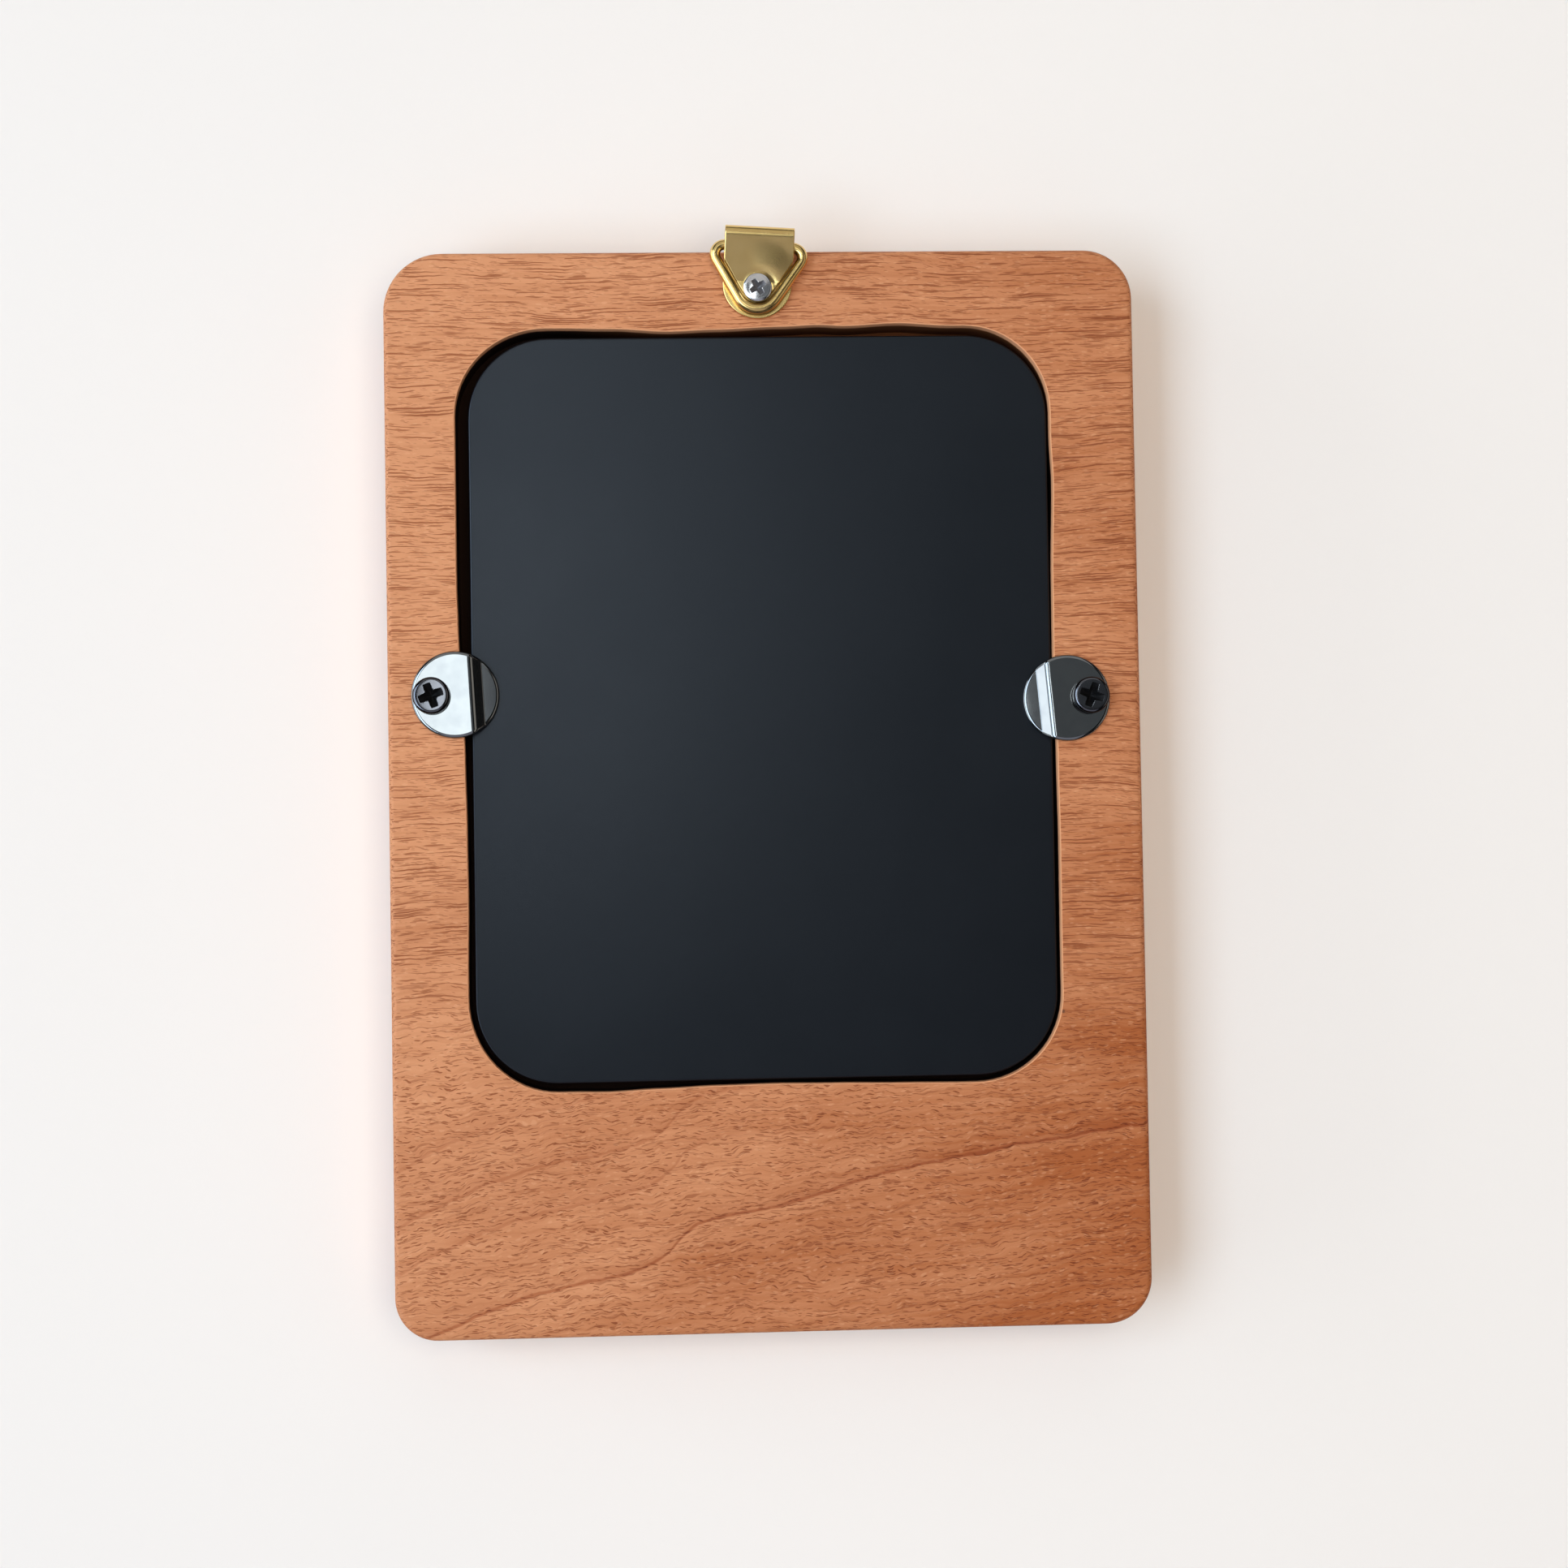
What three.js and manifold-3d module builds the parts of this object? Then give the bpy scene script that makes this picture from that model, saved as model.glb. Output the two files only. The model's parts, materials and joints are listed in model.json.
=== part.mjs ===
// A small wooden picture frame lying face down: a board with a rebated opening, the sheets that lie
// in the rebate, two turn buttons that hold them there, and a brass hanger with a wire ring.
// Millimetres. +Z points up out of the back, +Y towards the hanger, +X right as seen from the back.

import * as THREE from "three";
import { mergeVertices } from "three/addons/utils/BufferGeometryUtils.js";
import Module from "manifold-3d";

const wasm = await Module();
wasm.setup();

// Sheets in the rebate: format, corners and the thickness of each layer.
const sheetWidth = 89;
const sheetHeight = 114;
const sheetCornerRadius = 12.5;
const glazingThickness = 2;
const printThickness = 0.3;
const backingThickness = 3;
const layerGap = 0.05;

// Room round the sheets in the hand-cut rebate, and how far its left side leans.
const leftClearance = 1.2;
const rightClearance = 0.35;
const topClearance = 1.15;
const bottomClearance = 0.75;
const rebateLean = 1.2;
const rebateCornerExtra = 1;

// Board: rails round the rebate, front lip, depth of the backing below the back, sanded edges.
const leftRail = 11.35;
const rightRail = 13.1;
const topRail = 11.7;
const bottomRail = 37.4;
const lipOverlap = 5;
const lipThickness = 7.95;
const recessDepth = 1.6;
const edgeRounding = 0.8;
const topLeftRadius = 9;
const topRightRadius = 7.5;
const bottomRightRadius = 7;
const bottomLeftRadius = 6.5;

// Turn buttons: a round plate with a step that reaches down to the backing.
const plateThickness = 0.7;
const plateDiameter = 13.2;
const plateOffset = 3.5;
const stepRun = 2;
const stepBendRadius = 0.6;
const stepClearance = 0.45;
const leftButtonSetback = 4.6;
const leftButtonRise = 2.1;
const leftButtonTurn = THREE.MathUtils.degToRad(3);
const rightButtonSetback = 5.2;
const rightButtonRise = 0.85;
const rightButtonTurn = THREE.MathUtils.degToRad(5);

// Screws of the turn buttons.
const buttonHeadDiameter = 5.6;
const buttonHeadHeight = 1.9;
const buttonThreadDiameter = 2.9;
const buttonScrewLength = 10;
const buttonRecessWidth = 1;
const buttonRecessSpan = 3.8;
const buttonRecessDepth = 1.4;
const leftScrewTurn = THREE.MathUtils.degToRad(17);
const rightScrewTurn = THREE.MathUtils.degToRad(-24);

// Hanger: a folded strap, and the wire ring whose bar lies in the fold.
const hangerShift = -0.45;
const hangerFromEdge = 6.15;
const hangerTurn = THREE.MathUtils.degToRad(-3.3);
const strapWidth = 10.6;
const strapThickness = 0.7;
const strapEndReach = 4.4;
const strapBendRadius = 0.8;
const foldSlack = 1.05;
const barFromScrew = 6.5;
const barClearance = 0.3;
const wireDiameter = 1.6;
const ringWidth = 15;
const ringCornerRadius = 1.5;
const ringButtGap = 0.1;
const headToRing = 0.1;
const legToHead = 0.35;
const tongueToRing = 0.25;
const slopeToHead = 0.2;

// Screw of the hanger.
const hangerHeadDiameter = 4.4;
const hangerHeadHeight = 1.4;
const hangerThreadDiameter = 2.2;
const hangerScrewLength = 9;
const hangerRecessWidth = 0.8;
const hangerRecessSpan = 2.7;
const hangerRecessDepth = 1;
const hangerScrewTurn = THREE.MathUtils.degToRad(35);

// Shared fits and the fineness of round surfaces.
const restGap = 0.1;
const holeClearance = 0.2;
const threadPitchRatio = 0.42;
const threadDepthRatio = 0.15;
const pointLengthRatio = 0.9;
const pointRadiusRatio = 0.12;
const headRimShare = 0.45;
const headCrownSteps = 6;
const threadRowsPerTurn = 4;
const roundSegments = 48;
const headSegments = 24;
const threadSegments = 12;
const arcSegments = 6;
const edgeSegments = 3;
const wireSides = 10;
const ringSteps = 72;
const bendStep = THREE.MathUtils.degToRad(12);
const cutMargin = 1;

// Sizes that follow from the ones above.
const rebateWidth = leftClearance + sheetWidth + rightClearance;
const rebateHeight = bottomClearance + sheetHeight + topClearance;
const boardWidth = leftRail + rebateWidth + rightRail;
const boardHeight = bottomRail + rebateHeight + topRail;
const glazingBottom = lipThickness + layerGap;
const printBottom = glazingBottom + glazingThickness + layerGap;
const backingBottom = printBottom + printThickness + layerGap;
const backingTop = backingBottom + backingThickness;
const boardThickness = backingTop + recessDepth;
const rebateLeft = leftRail - boardWidth / 2;
const rebateRight = boardWidth / 2 - rightRail;
const rebateBottom = bottomRail - boardHeight / 2;
const rebateTop = boardHeight / 2 - topRail;
const sheetLeft = rebateLeft + leftClearance;
const sheetRight = rebateRight - rightClearance;
const sheetBottom = rebateBottom + bottomClearance;
const sheetTop = rebateTop - topClearance;
const sheetMiddleY = (sheetBottom + sheetTop) / 2;

// Triangle mesh to solid and back, for the cuts and joins.
function toSolid(geometry) {
  const bare = geometry.clone();
  bare.deleteAttribute("normal");
  bare.deleteAttribute("uv");
  const merged = mergeVertices(bare);
  const vertProperties = new Float32Array(merged.attributes.position.array);
  const triVerts = new Uint32Array(merged.index.array);
  return new wasm.Manifold(new wasm.Mesh({ numProp: 3, vertProperties, triVerts }));
}

function toGeometry(solid) {
  const mesh = solid.getMesh();
  const geometry = new THREE.BufferGeometry();
  geometry.setAttribute("position", new THREE.BufferAttribute(mesh.vertProperties, 3));
  geometry.setIndex(new THREE.BufferAttribute(mesh.triVerts, 1));
  geometry.computeVertexNormals();
  return geometry;
}

// Closed outline through the given corners, anticlockwise, each corner rounded by its radius.
function roundedShape(corners, radii) {
  const shape = new THREE.Shape();
  corners.forEach((corner, index) => {
    const before = corners[(index + corners.length - 1) % corners.length];
    const after = corners[(index + 1) % corners.length];
    const toBefore = before.clone().sub(corner).normalize();
    const toAfter = after.clone().sub(corner).normalize();
    const halfAngle = Math.acos(toBefore.dot(toAfter)) / 2;
    const radius = radii[index];
    const reach = radius / Math.tan(halfAngle);
    const inward = toBefore.clone().add(toAfter).setLength(radius / Math.sin(halfAngle));
    const centre = corner.clone().add(inward);
    const start = corner.clone().addScaledVector(toBefore, reach).sub(centre);
    const end = corner.clone().addScaledVector(toAfter, reach).sub(centre);
    shape.absarc(centre.x, centre.y, radius, start.angle(), end.angle(), false);
  });
  shape.closePath();
  return shape;
}

function rectangleCorners(left, bottom, right, top, lean = 0) {
  return [
    new THREE.Vector2(left + lean / 2, bottom),
    new THREE.Vector2(right, bottom),
    new THREE.Vector2(right, top),
    new THREE.Vector2(left - lean / 2, top),
  ];
}

function plainPrism(shape, bottom, top) {
  const settings = { depth: top - bottom, bevelEnabled: false, curveSegments: arcSegments };
  return new THREE.ExtrudeGeometry(shape, settings).translate(0, 0, bottom);
}

function cylinder(radius, bottom, top) {
  const geometry = new THREE.CylinderGeometry(radius, radius, top - bottom, roundSegments);
  return geometry.rotateX(Math.PI / 2).translate(0, 0, (bottom + top) / 2);
}

// Section of a bent sheet of even thickness: its middle line goes straight on or turns, step by step.
function bentSheetShape(start, heading, steps, thickness) {
  const leftSide = [];
  const rightSide = [];
  const place = start.clone();
  let angle = heading;
  const mark = () => {
    const half = new THREE.Vector2(-Math.sin(angle), Math.cos(angle)).multiplyScalar(thickness / 2);
    leftSide.push(place.clone().add(half));
    rightSide.push(place.clone().sub(half));
  };
  mark();
  for (const { straight = 0, turn = 0, radius = 0 } of steps) {
    const count = turn === 0 ? 1 : Math.ceil(Math.abs(turn) / bendStep);
    const chord = 2 * radius * Math.sin(Math.abs(turn) / count / 2);
    for (let piece = 0; piece < count; piece += 1) {
      angle += turn / count / 2;
      const length = turn === 0 ? straight : chord;
      place.add(new THREE.Vector2(Math.cos(angle), Math.sin(angle)).multiplyScalar(length));
      angle += turn / count / 2;
      mark();
    }
  }
  return new THREE.Shape([...rightSide, ...leftSide.reverse()]);
}

// Straight slope between two opposite bends: how far apart their centres are, and their radii added.
function slopeBetween(run, rise, radii) {
  const span = Math.hypot(run, rise);
  const slope = Math.sqrt(span ** 2 - radii ** 2);
  const angle = Math.asin(radii / span) - Math.atan2(rise, run);
  return { angle, slope };
}

// Board: rounded outline with sanded edges, less the rebate, the front window and the pilot holes.
function frameBody(screws) {
  const left = -boardWidth / 2;
  const bottom = -boardHeight / 2;
  const corners = rectangleCorners(left, bottom, -left, -bottom);
  const radii = [bottomLeftRadius, bottomRightRadius, topRightRadius, topLeftRadius];
  const slab = new THREE.ExtrudeGeometry(roundedShape(corners, radii), {
    depth: boardThickness - 2 * edgeRounding,
    bevelThickness: edgeRounding,
    bevelSize: edgeRounding,
    bevelOffset: -edgeRounding,
    bevelSegments: edgeSegments,
    curveSegments: arcSegments,
  });
  slab.translate(0, 0, edgeRounding);
  let body = toSolid(slab);

  const rebateRadius = sheetCornerRadius + rebateCornerExtra;
  const rebateCorners = rectangleCorners(rebateLeft, rebateBottom, rebateRight, rebateTop, rebateLean);
  const rebate = roundedShape(rebateCorners, rebateCorners.map(() => rebateRadius));
  body = body.subtract(toSolid(plainPrism(rebate, lipThickness, boardThickness + cutMargin)));

  const opening = sheetShape(lipOverlap);
  body = body.subtract(toSolid(plainPrism(opening, -cutMargin, lipThickness + cutMargin)));

  for (const { x, y, radius, depth } of screws) {
    const pilot = cylinder(radius, boardThickness - depth, boardThickness + cutMargin);
    body = body.subtract(toSolid(pilot.translate(x, y, 0)));
  }
  return toGeometry(body);
}

function sheetShape(inset) {
  const corners = rectangleCorners(
    sheetLeft + inset,
    sheetBottom + inset,
    sheetRight - inset,
    sheetTop - inset,
  );
  return roundedShape(corners, corners.map(() => sheetCornerRadius - inset));
}

// Round plate with a step: flat on the wood round its screw, then down to a tongue on the backing.
function turnButton() {
  const plateRadius = plateDiameter / 2;
  const stepStart = Math.max(leftButtonSetback, rightButtonSetback) + stepClearance;
  const bends = 2 * stepBendRadius;
  const { angle, slope } = slopeBetween(stepRun, bends - recessDepth, bends);
  const back = plateOffset - plateRadius - cutMargin;
  const tip = plateOffset + plateRadius + cutMargin;
  const steps = [
    { straight: stepStart - back },
    { turn: -angle, radius: stepBendRadius },
    { straight: slope },
    { turn: angle, radius: stepBendRadius },
    { straight: tip - stepStart - stepRun },
  ];
  const section = bentSheetShape(new THREE.Vector2(back, plateThickness / 2), 0, steps, plateThickness);
  const width = plateDiameter + 2 * cutMargin;
  const sheet = new THREE.ExtrudeGeometry(section, { depth: width, bevelEnabled: false });
  sheet.rotateX(Math.PI / 2).translate(0, width / 2, 0);
  const outline = cylinder(plateRadius, -recessDepth - cutMargin, plateThickness + cutMargin);
  const hole = cylinder(buttonThreadDiameter / 2 + holeClearance, -cutMargin, plateThickness + cutMargin);
  const disc = toSolid(outline.translate(plateOffset, 0, 0));
  return toGeometry(toSolid(sheet).intersect(disc).subtract(toSolid(hole)));
}

// Cross-recess wood screw. Its head stands on z = 0 and its thread points down.
function crossScrew(headDiameter, headHeight, threadDiameter, length, recess) {
  const headRadius = headDiameter / 2;
  const rimHeight = headHeight * headRimShare;
  const crown = new THREE.EllipseCurve(0, rimHeight, headRadius, headHeight - rimHeight, 0, Math.PI / 2);
  const underside = [new THREE.Vector2(0, 0), new THREE.Vector2(headRadius, 0)];
  const profile = [...underside, ...crown.getPoints(headCrownSteps)];
  profile[profile.length - 1].x = 0;
  const head = new THREE.LatheGeometry(profile, headSegments).rotateX(Math.PI / 2);

  const threadRadius = threadDiameter / 2;
  const pitch = threadDiameter * threadPitchRatio;
  const ridge = threadDiameter * threadDepthRatio;
  const pointLength = threadDiameter * pointLengthRatio;
  const rows = Math.ceil((length / pitch) * threadRowsPerTurn);
  const shank = new THREE.CylinderGeometry(1, 1, length + rimHeight, threadSegments, rows);
  shank.rotateX(Math.PI / 2).translate(0, 0, (rimHeight - length) / 2);
  const points = shank.attributes.position;
  for (let index = 0; index < points.count; index += 1) {
    const across = new THREE.Vector2(points.getX(index), points.getY(index));
    const height = points.getZ(index);
    const phase = THREE.MathUtils.euclideanModulo(height / pitch - across.angle() / (2 * Math.PI), 1);
    const thread = threadRadius - ridge * Math.abs(2 * phase - 1);
    const fade = THREE.MathUtils.clamp((height + length) / pointLength, pointRadiusRatio, 1);
    across.multiplyScalar(thread * fade);
    points.setXY(index, across.x, across.y);
  }

  const wing = new THREE.BoxGeometry(recess.span, recess.width, 2 * recess.depth);
  const otherWing = wing.clone().rotateZ(Math.PI / 2);
  const cone = new THREE.ConeGeometry(recess.span / 2, 2 * recess.depth, headSegments);
  cone.rotateX(-Math.PI / 2);
  const cross = toSolid(wing).add(toSolid(otherWing)).intersect(toSolid(cone));
  const cut = cross.translate(0, 0, headHeight);
  return toGeometry(toSolid(head).add(toSolid(shank)).subtract(cut));
}

// The ring's outline as the arcs that round its three corners: two at the bar and one at the apex.
const hangerHeadRadius = hangerHeadDiameter / 2;
const wireRadius = wireDiameter / 2;
const foldRadius = wireRadius + barClearance;
const barHeight = strapThickness + restGap + wireRadius;
const ringCornerX = ringWidth / 2 - wireRadius - ringCornerRadius;
const ringCornerY = barFromScrew - ringCornerRadius;
const ringApexRadius = hangerHeadRadius + legToHead + wireRadius;
const ringApexY = ringApexRadius - hangerHeadRadius - headToRing - wireRadius;
const cornerDistance = Math.hypot(ringCornerX, ringCornerY - ringApexY);
const legAngle =
  Math.atan2(ringCornerY - ringApexY, ringCornerX) +
  Math.asin((ringApexRadius - ringCornerRadius) / cornerDistance);
const legNormal = legAngle - Math.PI / 2;

// Bent wire ring in its own plane, its two ends meeting in the middle of the bar.
function hangerRing() {
  const outline = new THREE.Path();
  outline.moveTo(ringButtGap / 2, barFromScrew);
  outline.absarc(ringCornerX, ringCornerY, ringCornerRadius, Math.PI / 2, legNormal, true);
  outline.absarc(0, ringApexY, ringApexRadius, legNormal, -Math.PI - legNormal, true);
  outline.absarc(-ringCornerX, ringCornerY, ringCornerRadius, Math.PI - legNormal, Math.PI / 2, true);
  outline.lineTo(-ringButtGap / 2, barFromScrew);
  const middleLine = outline.getSpacedPoints(ringSteps).map(({ x, y }) => new THREE.Vector3(x, y, 0));
  const wire = new THREE.Shape().absarc(0, 0, wireRadius, 0, 2 * Math.PI);
  return new THREE.ExtrudeGeometry(wire, {
    steps: ringSteps,
    curveSegments: wireSides / 2,
    extrudePath: new THREE.CatmullRomCurve3(middleLine),
  });
}

// Everything outside an outline, between two heights, as a cutter.
function outsideCutter(outline, bottom, top) {
  const reach = strapEndReach + barFromScrew + foldSlack + strapWidth;
  const surround = new THREE.Shape(rectangleCorners(-reach, -reach, reach, reach));
  surround.holes.push(outline);
  return toSolid(plainPrism(surround, bottom, top));
}

// Folded strap: a lower layer with a round end, a fold round the bar, and an upper layer that slopes
// down from the fold to the screw and narrows to lie inside the ring.
function hangerStrap() {
  const half = strapThickness / 2;
  const foldY = barFromScrew + foldSlack;
  const foldLine = foldRadius + half;
  const slopeEnd = hangerHeadRadius + slopeToHead;
  const rise = strapThickness + restGap + strapBendRadius - foldLine;
  const { angle, slope } = slopeBetween(foldY - slopeEnd, rise, foldLine + strapBendRadius);
  const steps = [
    { straight: foldY + strapEndReach },
    { turn: Math.PI + angle, radius: foldLine },
    { straight: slope },
    { turn: -angle, radius: strapBendRadius },
    { straight: slopeEnd + strapEndReach },
  ];
  const section = bentSheetShape(new THREE.Vector2(-strapEndReach, half), 0, steps, strapThickness);
  const sheet = new THREE.ExtrudeGeometry(section, { depth: strapWidth, bevelEnabled: false });
  sheet.rotateX(Math.PI / 2).rotateZ(Math.PI / 2).translate(-strapWidth / 2, 0, 0);

  const wide = strapWidth / 2 + cutMargin;
  const far = foldY + foldRadius + strapThickness + cutMargin;
  const endRadius = strapWidth / 2;
  const roundEnd = new THREE.Path();
  roundEnd.moveTo(-wide, far);
  roundEnd.lineTo(-wide, endRadius - strapEndReach);
  roundEnd.absarc(0, endRadius - strapEndReach, endRadius, Math.PI, 2 * Math.PI, false);
  roundEnd.lineTo(wide, endRadius - strapEndReach);
  roundEnd.lineTo(wide, far);
  roundEnd.closePath();

  const tongueRadius = ringApexRadius - wireRadius - tongueToRing;
  const tangentX = tongueRadius * Math.cos(legNormal);
  const tangentY = ringApexY + tongueRadius * Math.sin(legNormal);
  const shoulderY = tangentY + (wide - tangentX) * Math.tan(legAngle);
  const tongue = new THREE.Path();
  tongue.moveTo(-wide, far);
  tongue.lineTo(-wide, shoulderY);
  tongue.absarc(0, ringApexY, tongueRadius, Math.PI - legNormal, 2 * Math.PI + legNormal, false);
  tongue.lineTo(wide, shoulderY);
  tongue.lineTo(wide, far);
  tongue.closePath();

  const split = strapThickness + restGap / 2;
  const top = 2 * (strapThickness + foldRadius) + cutMargin;
  const hole = cylinder(hangerThreadDiameter / 2 + holeClearance, -cutMargin, top);
  const strap = toSolid(sheet)
    .subtract(outsideCutter(roundEnd, -cutMargin, split))
    .subtract(outsideCutter(tongue, split, top))
    .subtract(toSolid(hole));
  return toGeometry(strap);
}

// Materials.
const wood = { color: 0xc48458, roughness: 0.6, metalness: 0 };
const acrylic = { color: 0xe8f0f0, roughness: 0.05, metalness: 0, transparent: true, opacity: 0.3 };
const paper = { color: 0xe9e4da, roughness: 0.5, metalness: 0 };
const blackPanel = { color: 0x24282d, roughness: 0.45, metalness: 0 };
const blackNickel = { color: 0x53585d, roughness: 0.12, metalness: 1 };
const blackSteel = { color: 0x121316, roughness: 0.3, metalness: 0.8 };
const brass = { color: 0xc2a25a, roughness: 0.25, metalness: 1 };
const brightSteel = { color: 0xc6c6ca, roughness: 0.2, metalness: 1 };

function piece(name, geometry, look) {
  const mesh = new THREE.Mesh(geometry, new THREE.MeshStandardMaterial(look));
  mesh.name = name;
  return mesh;
}

// Left side of the leaning rebate at a height on the board.
function rebateLeftAt(y) {
  const share = (y - rebateBottom) / rebateHeight;
  return rebateLeft + rebateLean * (0.5 - share);
}

// Where the three screws stand, and the pilot hole that each one needs.
const leftButtonY = sheetMiddleY + leftButtonRise;
const rightButtonY = sheetMiddleY + rightButtonRise;
const leftButtonX = rebateLeftAt(leftButtonY) - leftButtonSetback;
const rightButtonX = rebateRight + rightButtonSetback;
const hangerY = boardHeight / 2 - hangerFromEdge;
const buttonPilot = { radius: buttonThreadDiameter / 2 + holeClearance, depth: buttonScrewLength };
const hangerPilot = { radius: hangerThreadDiameter / 2 + holeClearance, depth: hangerScrewLength };
const pilots = [
  { x: leftButtonX, y: leftButtonY, ...buttonPilot },
  { x: rightButtonX, y: rightButtonY, ...buttonPilot },
  { x: hangerShift, y: hangerY, ...hangerPilot },
];

const frame = new THREE.Group();
frame.add(piece("frame_body", frameBody(pilots), wood));
const sheetLayers = [
  { name: "glazing", bottom: glazingBottom, thickness: glazingThickness, look: acrylic },
  { name: "photo_print", bottom: printBottom, thickness: printThickness, look: paper },
  { name: "backing_board", bottom: backingBottom, thickness: backingThickness, look: blackPanel },
];
for (const { name, bottom, thickness, look } of sheetLayers) {
  frame.add(piece(name, plainPrism(sheetShape(0), bottom, bottom + thickness), look));
}

const buttonRecess = { span: buttonRecessSpan, width: buttonRecessWidth, depth: buttonRecessDepth };
const buttonSeat = plateThickness + restGap;
const buttons = [
  { side: "left", x: leftButtonX, y: leftButtonY, turn: leftButtonTurn, screwTurn: leftScrewTurn },
  {
    side: "right",
    x: rightButtonX,
    y: rightButtonY,
    turn: Math.PI + rightButtonTurn,
    screwTurn: rightScrewTurn,
  },
];
for (const { side, x, y, turn, screwTurn } of buttons) {
  const station = new THREE.Group();
  station.position.set(x, y, boardThickness + restGap);
  station.rotation.z = turn;
  station.add(piece(`turn_button_${side}`, turnButton(), blackNickel));
  const screwShape = crossScrew(
    buttonHeadDiameter,
    buttonHeadHeight,
    buttonThreadDiameter,
    buttonScrewLength,
    buttonRecess,
  );
  const screw = piece(`turn_button_screw_${side}`, screwShape, blackSteel);
  screw.position.z = buttonSeat;
  screw.rotation.z = screwTurn;
  station.add(screw);
  frame.add(station);
}

const hanger = new THREE.Group();
hanger.position.set(hangerShift, hangerY, boardThickness + restGap);
hanger.rotation.z = hangerTurn;
hanger.add(piece("hanger_strap", hangerStrap(), brass));
const ring = piece("hanger_ring", hangerRing(), brass);
ring.position.z = barHeight;
hanger.add(ring);
const hangerRecess = { span: hangerRecessSpan, width: hangerRecessWidth, depth: hangerRecessDepth };
const hangerScrewShape = crossScrew(
  hangerHeadDiameter,
  hangerHeadHeight,
  hangerThreadDiameter,
  hangerScrewLength,
  hangerRecess,
);
const hangerScrew = piece("hanger_screw", hangerScrewShape, brightSteel);
hangerScrew.position.z = 2 * strapThickness + 2 * restGap;
hangerScrew.rotation.z = hangerScrewTurn;
hanger.add(hangerScrew);
frame.add(hanger);

// The origin lies under the middle of the whole part, on the plane of the front face.
const extent = new THREE.Box3().setFromObject(frame, true);
const middle = extent.getCenter(new THREE.Vector3());
frame.position.set(-middle.x, -middle.y, -extent.min.z);

export default frame;
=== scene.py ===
# Looks of a small wooden picture frame that lies face down on a pale floor.
import json
from math import asin, atan2, ceil, copysign, cos, hypot, pi, radians, sin, sqrt, tan

import bpy
from mathutils import Euler, Matrix, Vector


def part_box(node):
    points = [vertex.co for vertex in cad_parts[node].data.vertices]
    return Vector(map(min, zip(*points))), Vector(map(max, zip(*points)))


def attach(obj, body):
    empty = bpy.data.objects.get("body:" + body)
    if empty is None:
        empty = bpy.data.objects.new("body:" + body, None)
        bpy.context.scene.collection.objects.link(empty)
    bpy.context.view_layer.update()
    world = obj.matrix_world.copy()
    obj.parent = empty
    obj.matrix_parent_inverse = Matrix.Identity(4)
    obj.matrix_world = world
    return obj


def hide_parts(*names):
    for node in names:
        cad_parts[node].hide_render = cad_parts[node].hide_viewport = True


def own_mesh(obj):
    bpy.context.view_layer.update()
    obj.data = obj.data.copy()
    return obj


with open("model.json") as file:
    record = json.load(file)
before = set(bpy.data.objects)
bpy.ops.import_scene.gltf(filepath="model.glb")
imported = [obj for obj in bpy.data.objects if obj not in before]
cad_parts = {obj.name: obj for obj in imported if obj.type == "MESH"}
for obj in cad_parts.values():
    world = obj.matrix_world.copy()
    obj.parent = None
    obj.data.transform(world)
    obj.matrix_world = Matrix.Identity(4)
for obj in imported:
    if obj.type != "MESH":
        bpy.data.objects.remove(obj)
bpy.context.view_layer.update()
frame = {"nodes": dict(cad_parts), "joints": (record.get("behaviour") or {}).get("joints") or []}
scene = bpy.context.scene

MM = 0.001
TINY = 1e-6
BLACK = (0, 0, 0, 1)

# Camera: place over the frame in millimetres, turn in degrees, lens, and nearest sight in metres.
CAMERA_PLACE = (-18.283, -14.084, 420.511)
CAMERA_TURN = (1.88236, -2.89425, -0.96805)
CAMERA_LENS = 61.17
CAMERA_NEAR = 0.01

# Floor in millimetres: it fades into the pale background between two distances. Mirrored rays lose
# that background between two slopes above the horizon, and other rays see only a faint glow.
BACKGROUND = (0.92, 0.89, 0.87, 1)
FLOOR_COLOURS = ((0.885, 0.86, 0.84, 1), (0.905, 0.88, 0.86, 1))
FLOOR_CLOUD = (0.004,) * 3
FLOOR_REACH = 8000.0
FLOOR_GAP = 0.05
FLOOR_FADE = (240.0, 650.0)
LOW_SKY = (0.01, 0.04)
WORLD_GLOW = 0.02

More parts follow.
